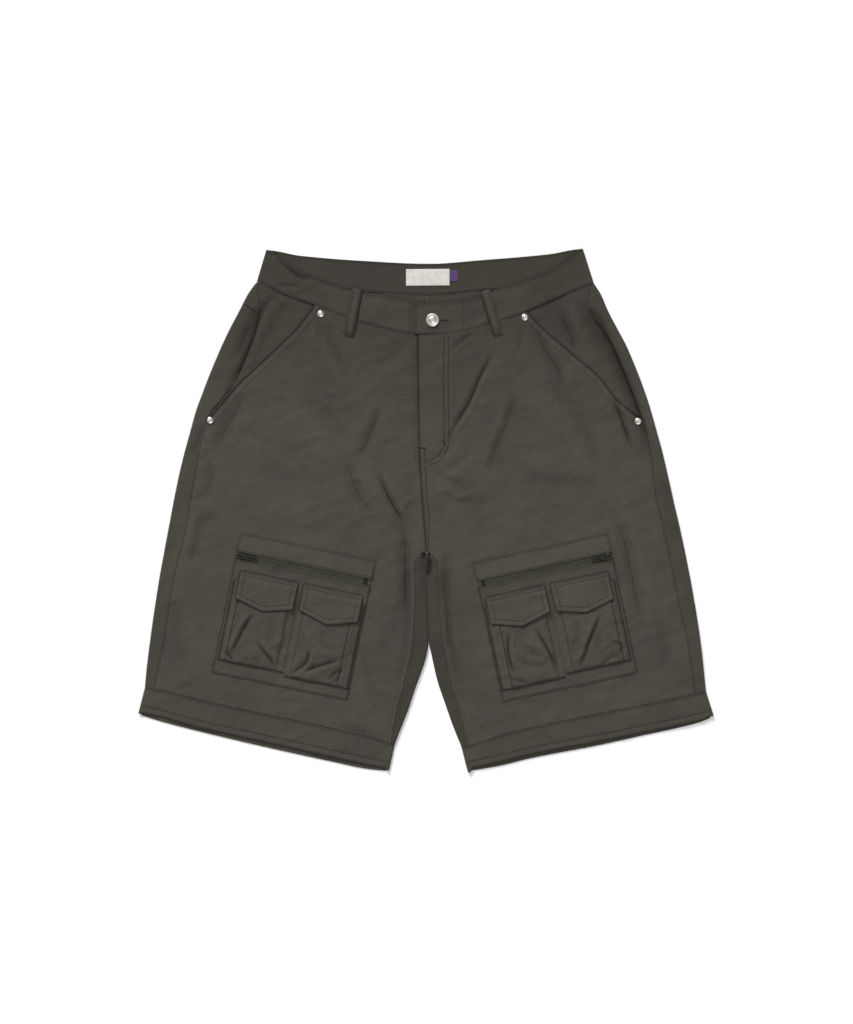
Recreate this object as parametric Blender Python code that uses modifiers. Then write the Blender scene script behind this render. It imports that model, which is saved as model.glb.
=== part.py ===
"""Convertible cargo trousers in their shorts form, laid flat on their back.

The wearer's right is at -X, the waist at +Y and the front faces +Z. Tables and sizes are in
millimetres and the objects in metres. The origin is on the floor, below the middle of the whole
garment, and the underside is flat at z = 0.
"""

import math
from collections import namedtuple

import bmesh
import bpy
import numpy as np
from mathutils import Vector

MM = 0.001
GAP = 0.3            # between two pieces that meet at a seam
WALL = 1.0           # one layer of the cloth
BAND_WALL = 1.5      # the doubled cloth of the waistband and hem bands
LIFT = 5.5           # height of the front's outer face above the floor
REST = 0.4           # between a panel and what lies on it
FOLD_STEPS = 4       # faces round a folded edge

Spot = namedtuple("Spot", "x y")
Side = namedtuple("Side", "name sign")
OuterRow = namedtuple("OuterRow", "y outline wrap")          # wrap: how far the back shows on top
InnerRow = namedtuple("InnerRow", "y edge inseam height")    # height: how thick the leg's inner edge is
WaistRow = namedtuple("WaistRow", "x top seam")
HemRow = namedtuple("HemRow", "x seam front back")
FoldRow = namedtuple("FoldRow", "x0 y0 x1 y1 x2 y2 width rise")
CargoUnit = namedtuple("CargoUnit", "x y tilt")
FlapRow = namedtuple("FlapRow", "name start end side_drop")
BagRow = namedtuple("BagRow", "name start end bottom")
RoundRow = namedtuple("RoundRow", "radius height")

RIGHT = Side("right", -1)
LEFT = Side("left", 1)

# The leg's outer edge, from the waistband's seam to the hem band's seam.
OUTER = {
    "right": [
        OuterRow(298, -220, 3),
        OuterRow(283, -231, 12),
        OuterRow(262, -242, 26),
        OuterRow(222, -262.5, 37),
        OuterRow(170, -284.5, 38),
        OuterRow(150, -292, 31),
        OuterRow(131, -299, 20),
        OuterRow(108, -305.5, 18),
        OuterRow(53, -320, 21),
        OuterRow(-25, -335.5, 23),
        OuterRow(-103, -349.5, 19),
        OuterRow(-168, -359, 19),
        OuterRow(-209, -364, 15),
        OuterRow(-231, -366, 12.5),
    ],
    "left": [
        OuterRow(295.2, 219, 4),
        OuterRow(282, 227.5, 16),
        OuterRow(261, 236.5, 25),
        OuterRow(237, 249, 18),
        OuterRow(212, 262, 19),
        OuterRow(157, 284, 17.5),
        OuterRow(131, 292.5, 16),
        OuterRow(108, 299, 14.5),
        OuterRow(79, 307, 15.5),
        OuterRow(14, 322, 22),
        OuterRow(-48, 336, 22),
        OuterRow(-116, 349, 21),
        OuterRow(-172, 357.5, 17),
        OuterRow(-235, 364.5, 15),
    ],
}

# The leg's inner edge, from the crotch to the hem band's seam.
INNER = {
    "right": [
        InnerRow(-57, 0.3, -8, 2.8),
        InnerRow(-67, 0.3, -15.5, 2.8),
        InnerRow(-86, 0.3, -16, 3.2),
        InnerRow(-110, 0.8, -15.5, 5.0),
        InnerRow(-168, 3.0, -18, 5.5),
        InnerRow(-187, 1.0, -21, 5.5),
        InnerRow(-211, -6.5, -26.5, 5.5),
        InnerRow(-233, -14.5, -31.5, 5.5),
        InnerRow(-256, -22, -38, 5.5),
        InnerRow(-287, -34, -44, 5.5),
        InnerRow(-304, -40.5, -46.5, 5.5),
    ],
    "left": [
        InnerRow(-57, 0.8, 8, 2.8),
        InnerRow(-67, 0.8, 14.5, 2.8),
        InnerRow(-86, 0.8, 16.5, 3.2),
        InnerRow(-110, 1.4, 17.5, 5.0),
        InnerRow(-168, 4.0, 22, 5.5),
        InnerRow(-191, 8.0, 27, 5.5),
        InnerRow(-220, 14.5, 32.5, 5.5),
        InnerRow(-254, 26, 43, 5.5),
        InnerRow(-277, 34, 48.5, 5.5),
        InnerRow(-308, 46.5, 55.5, 5.5),
    ],
}

# The front waistband sags; its right end slips under its left one.
FRONT_WAIST = {
    "right": [
        WaistRow(-217, 339, 298.5),
        WaistRow(-206.5, 339, 293),
        WaistRow(-196.5, 334, 287),
        WaistRow(-177, 317, 279),
        WaistRow(-148, 304, 269),
        WaistRow(-106, 288.5, 253),
        WaistRow(-53.5, 279, 237.5),
        WaistRow(-12, 271.5, 230),
        WaistRow(20, 270, 230),
    ],
    "left": [
        WaistRow(-15, 270.5, 230),
        WaistRow(5, 270, 230),
        WaistRow(31, 271, 231),
        WaistRow(48, 272.5, 234),
        WaistRow(96, 289.5, 247.5),
        WaistRow(124, 298, 257),
        WaistRow(161, 311.5, 273),
        WaistRow(188.5, 330, 285),
        WaistRow(202, 340.5, 290),
        WaistRow(216, 340.5, 295.5),
    ],
}
BACK_WAIST = [
    WaistRow(-217, 339, 298.5),
    WaistRow(-206.5, 339, 297),
    WaistRow(-164, 332, 291),
    WaistRow(-86, 325.5, 286),
    WaistRow(5, 321.5, 281),
    WaistRow(70, 326, 286.5),
    WaistRow(161, 334, 291),
    WaistRow(202, 340.5, 294.5),
    WaistRow(216, 340.5, 295.5),
]
WAIST_SIDE = {
    "right": (Spot(-208, 339), Spot(-220, 298.5)),
    "left": (Spot(204.3, 340.5), Spot(218.5, 295.5)),
}

HEM = {
    "right": [
        HemRow(-374.5, -229, -261, -265),
        HemRow(-346, -233.5, -267, -274),
        HemRow(-294, -246, -281, -287.5),
        HemRow(-229, -261, -295.5, -303),
        HemRow(-125, -282.5, -318.5, -326),
        HemRow(-73, -295, -330, -336.5),
        HemRow(-40, -304.5, -336, -339.5),
    ],
    "left": [
        HemRow(46, -309.5, -336, -340.5),
        HemRow(96, -293, -325.5, -332),
        HemRow(135, -283, -316, -322.5),
        HemRow(226, -264, -298.5, -305),
        HemRow(278, -254, -288, -293.5),
        HemRow(356, -237.5, -271.5, -275.5),
        HemRow(374.5, -234, -264, -268),
    ],
}
HEM_SIDES = {
    "right": {
        "outer": (Spot(-366, -231), Spot(-374.5, -264)),
        "inner": (Spot(-40.5, -304.5), Spot(-48, -338)),
    },
    "left": {
        "outer": (Spot(364.5, -235.5), Spot(374.5, -267)),
        "inner": (Spot(46.5, -309.2), Spot(54.5, -340.5)),
    },
}

# The slanted pocket mouths, from the waistband down to the lower rivet.
MOUTH = {
    "right": [
        Spot(-145, 268),
        Spot(-164, 241),
        Spot(-203, 202.5),
        Spot(-245.5, 162),
        Spot(-264, 140),
        Spot(-281.5, 119),
    ],
    "left": [
        Spot(131, 259.5),
        Spot(149.5, 239),
        Spot(187, 206.5),
        Spot(226, 172.5),
        Spot(249, 143),
        Spot(279.5, 119),
    ],
}
MOUTH_END = 119
BELOW_MOUTH = 8          # the front meets the side seam this far below the mouth's end
FACING_FOOT = 4          # the hip facing ends this far above it

# The fly's edge, then the centre seam down to the crotch.
CENTRE_FRONT = [
    Spot(-11, 229.7),
    Spot(-10, 144),
    Spot(-9, 83),
    Spot(-6.5, 35),
    Spot(-3.5, -5),
    Spot(0.5, -52),
]
CROTCH = -57
FLY = {"bottom": 83, "underlap": 10, "dip": 1.7, "reach": 9, "slope": 8, "fade_from": 45, "fade": 20}
BAND_LAP = {"reach": 9, "slope": 8}    # the right band's step down under the left one

DEEPEST = 2.1            # limits of the folds below
HIGHEST = 1.9
FOLD_FADE = 0.25         # share of a fold's length over which each end fades out

# Folds of the front, as troughs (rise below 0) and ridges.
FOLDS = [
    FoldRow(-134, 232, -114, 197, -99, 160, 12, -1.7),
    FoldRow(-56, 142, -76, 90, -92, 58, 12, -2.1),
    FoldRow(-104, 70, -84, 12, -58, -6, 12, -1.8),
    FoldRow(-64, 54, -38, 6, -28, -30, 11, -2.0),
    FoldRow(-28, -30, -27, -90, -30, -165, 11, -1.7),
    FoldRow(-232, 152, -252, 112, -276, 86, 12, -1.4),
    FoldRow(-243, 104, -222, 98, -198, 86, 11, -1.2),
    FoldRow(-262, -6, -292, -36, -308, -88, 12, -1.7),
    FoldRow(-38, 150, -60, 96, -72, 60, 13, 1.6),
    FoldRow(-124, 92, -108, 24, -78, -18, 14, 1.5),
    FoldRow(-176, 190, -160, 120, -150, 60, 20, 1.3),
    FoldRow(-62, -60, -60, -130, -66, -200, 14, 1.2),
    FoldRow(-290, 20, -306, -60, -322, -150, 13, 1.2),
    FoldRow(-150, -262, -120, -272, -88, -282, 10, 1.0),
    FoldRow(91, 212, 56, 140, 30, 95, 12, -2.1),
    FoldRow(123, 141, 95, 88, 73, 45, 12, -1.6),
    FoldRow(139, 236, 170, 186, 182, 150, 12, -1.6),
    FoldRow(196, 141, 214, 84, 226, 48, 12, -1.6),
    FoldRow(243, 134, 266, 84, 286, 70, 12, -1.4),
    FoldRow(120, 44, 180, 37, 236, 30, 12, -1.4),
    FoldRow(238, 0, 268, -70, 290, -162, 12, -1.7),
    FoldRow(24, -62, 22, -120, 32, -190, 11, -1.7),
    FoldRow(108, 216, 78, 150, 52, 100, 14, 1.6),
    FoldRow(62, -60, 64, -130, 76, -200, 14, 1.2),
    FoldRow(150, 190, 160, 130, 176, 80, 18, 1.3),
    FoldRow(254, 30, 282, -60, 304, -150, 13, 1.3),
    FoldRow(200, 200, 230, 160, 250, 110, 16, 1.0),
]

CARGO = {"right": CargoUnit(-241.5, -28.5, 11.6), "left": CargoUnit(236.5, -29.5, 12.1)}
CARGO_WIDTH = 180
CARGO_HEIGHT = 185
CARGO_LEVEL = 6          # the front is level this far round a unit
CARGO_SLOPE = 19         # and its folds are full this much further out
ZIP_TOP = 24.8           # the cargo unit's top strip ends here, measured down from the unit's top
ZIP_BOTTOM = 33.6
ZIP_RISE = 1.3
TAPE_EDGE = 3.4          # how far the tape runs under the cloth at each side
TAPE_WALL = 0.8
TAPE_INSET = 1           # and how far its ends lie inside the unit's sides
PATCH_DOWN = 46.5        # below here the patch lies on the panel
FLAP_TOP = 48.5
FLAP_POINT = 94
FLAP_WALL = 1.2
FLAP_RISE = 10           # the flap climbs onto the bag over this length
BAG_TOP = 60
BAG_DENT_FADE = 20
BAG = {"puff": 3.8, "least": 0.35, "fill": 45, "side": 6, "foot": 7, "dent": 0.3, "dent_width": 9}
FLAPS = [FlapRow("outer", 11, 87, 84), FlapRow("inner", 95, 173, 83)]
BAGS = [BagRow("outer", 5, 90, 166), BagRow("inner", 93.5, 177, 170)]

LOOPS = {"right": (Spot(-89.5, 286), Spot(-100.5, 228)), "left": (Spot(77, 284), Spot(93.5, 229))}
LOOP_WIDTH = 12.5
LOOP_WALL = 1.4
LOOP = {"overhang": 2.4, "tuck": 1.2, "stand": 1.9, "bow": 1.3, "foot": 4}
BUTTON = Spot(8.5, 248)
BUTTON_PROFILE = [
    RoundRow(0, 2.5),
    RoundRow(4.45, 2.5),
    RoundRow(5.25, 3.1),
    RoundRow(7.25, 3.2),
    RoundRow(8.35, 2.3),
    RoundRow(8.65, 1.2),
    RoundRow(8.15, 0),
    RoundRow(0, 0),
]
RIVETS = {
    "upper_right": Spot(-137, 256),
    "upper_left": Spot(128.5, 251.5),
    "lower_right": Spot(-280.6, 117.6),
    "lower_left": Spot(275.6, 116.4),
}
RIVET_STAND = 0.2        # the rivet's head over the cloth, past GAP
RIVET_PROFILE = [
    RoundRow(0, 1.9),
    RoundRow(1.25, 1.8),
    RoundRow(1.65, 1.3),
    RoundRow(3.35, 1.3),
    RoundRow(4.5, 0.5),
    RoundRow(4.1, 0),
    RoundRow(0, 0),
]
LABEL = (Spot(-26, 293), Spot(30.6, 314.5))
SIZE_TAB = (Spot(31.1, 298.5), Spot(41.5, 312.5))
LABEL_WALL = 0.8

SLIDER = {"length": 11.5, "width": 7.4, "height": 2.4, "along": 7.0, "across": 29.2}
CROWN = {"length": 7.4, "width": 1.6, "height": 3.2, "window": 5.8, "bar": 0.8, "sink": 0.3, "clear": 0.05}
PULL = {
    "length": 22,
    "width": 6.6,
    "thick": 1.0,
    "bar": 0.9,
    "window": 5.4,
    "arm": 1.4,
    "droop": 4.4,    # degrees
    "axis": 1.5,     # its hinge's height above the slider's body
}
STOP = {"length": 5, "width": 6.5, "height": 1.7, "along": 172}

PALETTE = {
    "cloth": ((73, 71, 63), 0.85, 0.0),
    "tape": ((70, 70, 52), 0.8, 0.0),
    "label": ((226, 224, 219), 0.7, 0.0),
    "size_tab": ((75, 45, 125), 0.65, 0.0),
    "nickel": ((205, 205, 203), 0.28, 1.0),
}


# ---- curves and heights ----

def smooth(places, values, place):
    """A curve through a table's rows that doesn't overshoot them."""
    order = np.argsort(places)
    xs = np.asarray(places, float)[order]
    ys = np.asarray(values, float)[order]
    secants = np.diff(ys) / np.diff(xs)
    slopes = np.empty(len(xs))
    slopes[0], slopes[-1] = secants[0], secants[-1]
    for i in range(1, len(xs) - 1):
        before, after = secants[i - 1], secants[i]
        slopes[i] = 2 * before * after / (before + after) if before * after > 0 else 0.0
    place = np.clip(place, xs[0], xs[-1])
    k = np.clip(np.searchsorted(xs, place) - 1, 0, len(xs) - 2)
    width = xs[k + 1] - xs[k]
    f = (place - xs[k]) / width
    return (
        (1 + 2 * f) * (1 - f) ** 2 * ys[k]
        + f * (1 - f) ** 2 * width * slopes[k]
        + f * f * (3 - 2 * f) * ys[k + 1]
        + f * f * (f - 1) * width * slopes[k + 1]
    )


def column(rows, place, value, at):
    """Reads one named column of a table as a smooth curve over another."""
    return smooth([getattr(row, place) for row in rows], [getattr(row, value) for row in rows], at)


def ease(value):
    value = np.clip(value, 0.0, 1.0)
    return value * value * (3 - 2 * value)


def cargo_axes(side):
    """The unit's along direction (towards the inner leg) and its down direction."""
    tilt = math.radians(CARGO[side.name].tilt)
    along = np.array([-side.sign * math.cos(tilt), -math.sin(tilt)])
    down = np.array([side.sign * math.sin(tilt), -math.cos(tilt)])
    return along, down


def cargo_point(side, s, t):
    along, down = cargo_axes(side)
    unit = CARGO[side.name]
    return np.array([unit.x, unit.y]) + s * along + t * down


def on_cargo(x, y):
    """1 on a cargo unit, where the front lies level, and 0 well outside it."""
    found = 0.0
    for side in (RIGHT, LEFT):
        along, down = cargo_axes(side)
        from_corner = np.array([x - CARGO[side.name].x, y - CARGO[side.name].y])
        s, t = from_corner @ along, from_corner @ down
        outside = math.hypot(max(-s, s - CARGO_WIDTH, 0.0), max(-t, t - CARGO_HEIGHT, 0.0))
        found = max(found, 1 - ease((outside - CARGO_LEVEL) / CARGO_SLOPE))
    return found


def fold_height(row, x, y):
    """A soft trough or ridge along a curved line, fading out at both ends."""
    f = np.linspace(0, 1, 17)
    line_x = (1 - f) ** 2 * row.x0 + 2 * f * (1 - f) * row.x1 + f * f * row.x2
    line_y = (1 - f) ** 2 * row.y0 + 2 * f * (1 - f) * row.y1 + f * f * row.y2
    away = np.hypot(line_x - x, line_y - y)
    nearest = int(np.argmin(away))
    along = f[nearest]
    strength = ease(min(along, 1 - along) / FOLD_FADE + FOLD_FADE)
    return row.rise * strength * math.exp(-((away[nearest] / row.width) ** 2))


def lift(x, y):
    """Height of the front's outer face."""
    raised = sum(fold_height(row, x, y) for row in FOLDS)
    return LIFT + np.clip(raised, -DEEPEST, HIGHEST) * (1 - on_cargo(x, y))


# ---- meshes ----

def shares(edge, opposite):
    """How far along two facing edges each of their points lies, from 0 to 1."""
    steps = np.linalg.norm(np.diff(edge, axis=0), axis=1)
    steps = steps + np.linalg.norm(np.diff(opposite, axis=0), axis=1)
    return np.concatenate([[0], np.cumsum(steps)]) / steps.sum()


def blend_edges(top, bottom, first, last):
    """Fills four edges, each a row of points, with a grid of points."""
    top, bottom, first, last = (np.asarray(edge, float) for edge in (top, bottom, first, last))
    u = shares(top, bottom)[None, :, None]
    v = shares(first, last)[:, None, None]
    across = (1 - v) * top[None] + v * bottom[None]
    down = (1 - u) * first[:, None] + u * last[:, None]
    corners = (1 - v) * ((1 - u) * top[0] + u * top[-1]) + v * ((1 - u) * bottom[0] + u * bottom[-1])
    return across + down - corners


def new_material(name, kind):
    colour, roughness, metallic = PALETTE[kind]
    material = bpy.data.materials.new(name)
    material.use_nodes = True
    shader = material.node_tree.nodes["Principled BSDF"]
    linear = [((c / 255 + 0.055) / 1.055) ** 2.4 if c > 10 else c / 255 / 12.92 for c in colour]
    shader.inputs["Base Color"].default_value = (*linear, 1.0)
    shader.inputs["Roughness"].default_value = roughness
    shader.inputs["Metallic"].default_value = metallic
    material.diffuse_color = (*linear, 1.0)
    return material


def add_object(name, mesh, kind, collection):
    obj = bpy.data.objects.new(name, mesh)
    collection.objects.link(obj)
    if kind:
        mesh.materials.append(new_material(name, kind))
    return obj


def cloth(name, points, wall, kind, collection, faces_up=True, keep=None, ring=False):
    """A wall of cloth: a grid laid on these points, its outer face, thickened inwards."""
    points = np.asarray(points, float)
    rows, columns = points.shape[:2]
    sheet = bmesh.new()
    bmesh.ops.create_grid(sheet, x_segments=columns - 1, y_segments=rows - 1, size=0.5)
    cell = {}
    for vert in sheet.verts:
        i = round((vert.co.x + 0.5) * (columns - 1))
        j = round((0.5 - vert.co.y) * (rows - 1))
        cell[vert] = (j, i)
        vert.co = Vector(points[j, i] * MM)
    if keep is not None:
        gone = [face for face in sheet.faces if not all(keep(*cell[vert]) for vert in face.verts)]
        bmesh.ops.delete(sheet, geom=gone, context="FACES")
    if ring:
        bmesh.ops.remove_doubles(sheet, verts=sheet.verts[:], dist=1e-6)
    bmesh.ops.recalc_face_normals(sheet, faces=sheet.faces[:])
    sheet.normal_update()
    middle = LIFT / 2 * MM if ring else (-1 if faces_up else 1)
    outward = 0.0
    for face in sheet.faces:
        above = 1 if face.calc_center_median().z > middle else -1
        outward += face.normal.z * face.calc_area() * above
    if outward < 0:
        bmesh.ops.reverse_faces(sheet, faces=sheet.faces[:])
    mesh = bpy.data.meshes.new(name)
    sheet.to_mesh(mesh)
    sheet.free()
    obj = add_object(name, mesh, kind, collection)
    thicken = obj.modifiers.new("Wall", "SOLIDIFY")
    thicken.thickness = wall * MM
    thicken.offset = -1
    thicken.use_even_offset = True
    mesh.shade_smooth()
    return obj


def turned(name, profile, steps, kind, collection):
    """A round piece from half its section, given from the top of its axis outwards and down."""
    mesh = bpy.data.meshes.new(name)
    points = [(row.radius * MM, 0, row.height * MM) for row in profile]
    edges = [(i, i + 1) for i in range(len(profile) - 1)]
    mesh.from_pydata(points, edges, [])
    obj = add_object(name, mesh, kind, collection)
    screw = obj.modifiers.new("Turn", "SCREW")
    screw.steps = steps
    screw.render_steps = steps
    screw.use_merge_vertices = True
    screw.merge_threshold = 1e-6
    screw.use_smooth_shade = True
    return obj


def block(name, size, centre, kind, collection):
    mesh = bpy.data.meshes.new(name)
    cube = bmesh.new()
    bmesh.ops.create_cube(cube, size=1.0)
    bmesh.ops.scale(cube, verts=cube.verts[:], vec=Vector(size) * MM)
    bmesh.ops.translate(cube, verts=cube.verts[:], vec=Vector(centre) * MM)
    cube.to_mesh(mesh)
    cube.free()
    return add_object(name, mesh, kind, collection)


def add_bevel(obj, width):
    rounding = obj.modifiers.new("Edges", "BEVEL")
    rounding.width = width * MM
    rounding.segments = 2


def cut_or_join(obj, other, operation):
    change = obj.modifiers.new(other.name, "BOOLEAN")
    change.operation = operation
    change.object = other
    other.hide_render = True
    other.display_type = "WIRE"


# ---- the trousers' lines ----

UPPER_ROWS = 12      # back rows above the crotch
LOWER_ROWS = 9       # and below it
CROTCH_ROW = 10      # an extra row this far below the crotch


def row_levels(side):
    """Heights of each row at the outer and the inner edge, waist to hem."""
    outer, inner = OUTER[side.name], INNER[side.name]
    centre_top = column(BACK_WAIST, "x", "seam", 0.3)
    fall = centre_top - inner[-1].y
    crotch = (centre_top - CROTCH) / fall
    levels = list(np.linspace(0, crotch, UPPER_ROWS + 1))
    levels.append(crotch + CROTCH_ROW / fall)
    levels += list(np.linspace(crotch, 1, LOWER_ROWS + 1)[1:])
    outer_levels = [outer[0].y + (outer[-1].y - outer[0].y) * f for f in levels]
    inner_levels = [centre_top - fall * f for f in levels]
    return outer_levels, inner_levels


def outline_point(side, y):
    return np.array([column(OUTER[side.name], "y", "outline", y), y])


def seam_point(side, y, shift=0.0):
    """On the side seam, where it shows on top; a positive shift goes towards the centre."""
    edge = outline_point(side, y)
    wrap = column(OUTER[side.name], "y", "wrap", y)
    return edge - np.array([side.sign * (wrap + shift), 0.0])


def inner_point(side, y):
    if y > CROTCH:
        return np.array([0.5 + side.sign * GAP / 2, y])
    return np.array([column(INNER[side.name], "y", "edge", y), y])


def inseam_point(side, y, shift=0.0):
    """On the inseam; a positive shift goes towards the outer side."""
    return np.array([column(INNER[side.name], "y", "inseam", y) + side.sign * shift, y])


def fold_points(edge_xy, inward, height):
    """Half a turn round a folded edge, from its top to its underside. inward points into the panel."""
    radius = height / 2
    turn = []
    for k in range(FOLD_STEPS + 1):
        angle = math.pi * k / FOLD_STEPS
        reach = radius * (1 - math.sin(angle))
        place = edge_xy + inward * reach
        turn.append([place[0], place[1], radius * (1 + math.cos(angle))])
    return turn


WRAP_COLUMNS = 3
FLOOR_COLUMNS = 10


def back_section(side, outer_y, inner_y, hem_blend):
    """A section of a back panel: side seam, round the outer edge, along the floor, to the inseam."""
    edge = outline_point(side, outer_y)
    inward = np.array([-side.sign, 0.0])
    seam = seam_point(side, outer_y, -GAP / 2)
    height = lift(*edge)
    brink = edge + inward * height / 2
    section = []
    for f in np.linspace(0, 1, WRAP_COLUMNS)[:-1]:
        place = seam + (brink - seam) * f
        section.append([place[0], place[1], lift(*place) * (1 - f) + height * f])
    section += fold_points(edge, inward, height)
    inner = inner_point(side, inner_y)
    below_crotch = inner_y <= CROTCH + 1e-6
    inner_height = column(INNER[side.name], "y", "height", min(inner_y, CROTCH))
    inner_brink = inner - inward * inner_height / 2 if below_crotch else inner
    outer_top, outer_end = OUTER[side.name][0].y, OUTER[side.name][-1].y
    inner_top, inner_end = column(BACK_WAIST, "x", "seam", 0.5), INNER[side.name][-1].y
    floor = []
    for f in np.linspace(0, 1, FLOOR_COLUMNS + 1)[1:]:
        place = brink + (inner_brink - brink) * f
        waist_bow = column(BACK_WAIST, "x", "seam", place[0]) - outer_top - (inner_top - outer_top) * f
        hem_bow = column(HEM[side.name], "x", "seam", place[0]) - outer_end - (inner_end - outer_end) * f
        bow = waist_bow * (1 - hem_blend) + hem_bow * hem_blend
        floor.append([place[0], place[1] + bow * (f < 1), 0.0])
    section += floor
    underside = fold_points(inner, -inward, inner_height)[::-1]
    section += underside[1:]
    seam_end = inseam_point(side, min(inner_y, CROTCH), -GAP / 2)
    inseam_height = lift(*seam_end)
    fold_end = np.array(underside[-1][:2])
    section.append([*((fold_end + seam_end) / 2), (inner_height + inseam_height) / 2])
    section.append([seam_end[0], seam_end[1], inseam_height])
    return section


def add_back(side, collection):
    outer_levels, inner_levels = row_levels(side)
    count = len(outer_levels) - 1
    rows = []
    for k, (outer_y, inner_y) in enumerate(zip(outer_levels, inner_levels)):
        rows.append(back_section(side, outer_y, inner_y, k / count))
    points = np.array(rows)
    floor_end = WRAP_COLUMNS - 1 + FOLD_STEPS + FLOOR_COLUMNS
    points[0, :, 1] -= GAP
    points[-1, :, 1] = column(HEM[side.name], "x", "seam", points[-1, :, 0]) + GAP

    def keep(row, place):
        return row >= UPPER_ROWS or place <= floor_end

    return cloth("back_" + side.name, points, WALL, "cloth", collection, faces_up=False, keep=keep)


def mouth_point(side, f, shift=0.0):
    """On the pocket mouth at a share of its height, shifted along X towards the centre."""
    rows = MOUTH[side.name]
    y = rows[0].y + (MOUTH_END - rows[0].y) * f
    return np.array([column(rows, "y", "x", y) - side.sign * shift, y])


MOUTH_ROWS = 7
FRONT_COLUMNS = 17
CROTCH_RISE = 1.2    # the front's crotch point stands this far above the back's


def centre_x(y):
    return column(CENTRE_FRONT, "y", "x", y)


def add_front(side, collection):
    """A front panel, from the pocket mouth and side seam to the fly, centre seam and inseam."""
    outer_levels, inner_levels = row_levels(side)
    below_mouth = [k for k, y in enumerate(outer_levels) if y < MOUTH_END - BELOW_MOUTH]
    first = [mouth_point(side, f) for f in np.linspace(0, 1, MOUTH_ROWS + 1)]
    first += [seam_point(side, outer_levels[k], GAP / 2) for k in below_mouth]
    above_crotch = len(first) - (len(outer_levels) - 1 - UPPER_ROWS) - 1
    last = []
    for f in np.linspace(0, 1, above_crotch):
        y = CENTRE_FRONT[0].y + (CENTRE_FRONT[-1].y - CENTRE_FRONT[0].y) * f
        shift = side.sign * GAP / 2
        if side is RIGHT and y > FLY["bottom"]:
            shift = FLY["underlap"]
        last.append(np.array([centre_x(y) + shift, y]))
    for k, y in enumerate(inner_levels):
        if k >= UPPER_ROWS:
            last.append(inseam_point(side, y, GAP / 2))
    last[above_crotch] = last[above_crotch] + np.array([0.0, CROTCH_RISE])
    top, bottom = [], []
    for x in np.linspace(first[0][0], last[0][0], FRONT_COLUMNS + 1):
        top.append(np.array([x, column(FRONT_WAIST[side.name], "x", "seam", x) - GAP]))
    for x in np.linspace(first[-1][0], last[-1][0], FRONT_COLUMNS + 1):
        bottom.append(np.array([x, column(HEM[side.name], "x", "seam", x) + GAP]))
    first[0], last[0], first[-1], last[-1] = top[0], top[-1], bottom[0], bottom[-1]
    flat = blend_edges(top, bottom, first, last)
    points = np.zeros((*flat.shape[:2], 3))
    for place in np.ndindex(flat.shape[:2]):
        x, y = flat[place]
        height = lift(x, y)
        if side is RIGHT:
            edge = centre_x(max(y, CENTRE_FRONT[-1].y))
            under = ease((x - edge + FLY["reach"]) / FLY["slope"])
            height -= FLY["dip"] * under * ease((y - FLY["fade_from"]) / FLY["fade"])
        points[place] = (x, y, height)
    return cloth("front_" + side.name, points, WALL, "cloth", collection)


FACING_COLUMNS = 4
FACING_DIP = 1.4     # how far it goes down under the front
FACING_UNDER = 7     # and how far in past the mouth
FACING_REACH = 0.93  # share of the mouth's height that it follows


def add_facing(side, collection):
    """The hip piece behind the slanted mouth, from the side seam to a little under the front."""
    outer_levels, _ = row_levels(side)
    levels = [y for y in outer_levels if y > MOUTH_END + FACING_FOOT]
    rows = []
    for k, y in enumerate(levels):
        start = seam_point(side, y, GAP)
        f = k / (len(levels) - 1)
        end = mouth_point(side, f * FACING_REACH, FACING_UNDER)
        if k == 0:
            end[1] = column(FRONT_WAIST[side.name], "x", "seam", end[0])
        row = []
        for g in np.linspace(0, 1, FACING_COLUMNS + 1):
            x, place_y = start + (end - start) * g
            if k == 0:
                place_y = column(FRONT_WAIST[side.name], "x", "seam", x) - GAP
            row.append([x, place_y, lift(x, place_y) - FACING_DIP * ease(2 * g)])
        rows.append(row)
    return cloth("hip_facing_" + side.name, rows, WALL, "cloth", collection)


BAND_RISE = 0.4      # over the front panels
BAND_COLUMNS = 14
BAND_TUCK = 3        # how far the folded side runs in along the floor
BUTTON_REACH = 8.65  # how far the right band runs under the left one past the button's centre


def add_front_band(side, collection):
    """Half of the front waistband. Its outer end folds round the side; the right slips under the left."""
    rows_table = FRONT_WAIST[side.name]
    top_end, seam_end = WAIST_SIDE[side.name]
    inner_x = BUTTON.x + BUTTON_REACH if side is RIGHT else rows_table[0].x
    height = LIFT + BAND_RISE
    rows = []
    for f in np.linspace(0, 1, 4):
        edge = np.array(top_end) * (1 - f) + np.array(seam_end) * f
        brink = edge - np.array([side.sign * height / 2, 0])
        row = []
        for g in np.linspace(0, 1, BAND_COLUMNS + 1)[:-1]:
            x = inner_x + (brink[0] - inner_x) * g
            top_y = column(rows_table, "x", "top", x)
            seam_y = column(rows_table, "x", "seam", x)
            z = height
            if side is RIGHT:
                past = x - FRONT_WAIST["left"][0].x + BAND_LAP["reach"]
                z -= (BAND_WALL + GAP) * ease(past / BAND_LAP["slope"])
            row.append([x, top_y + (seam_y - top_y) * f, z])
        row += fold_points(edge, np.array([-side.sign, 0.0]), height)
        row.append([brink[0] - side.sign * BAND_TUCK, brink[1], 0.0])
        rows.append(row)
    return cloth("waistband_front_" + side.name, rows, BAND_WALL, "cloth", collection)


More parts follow.
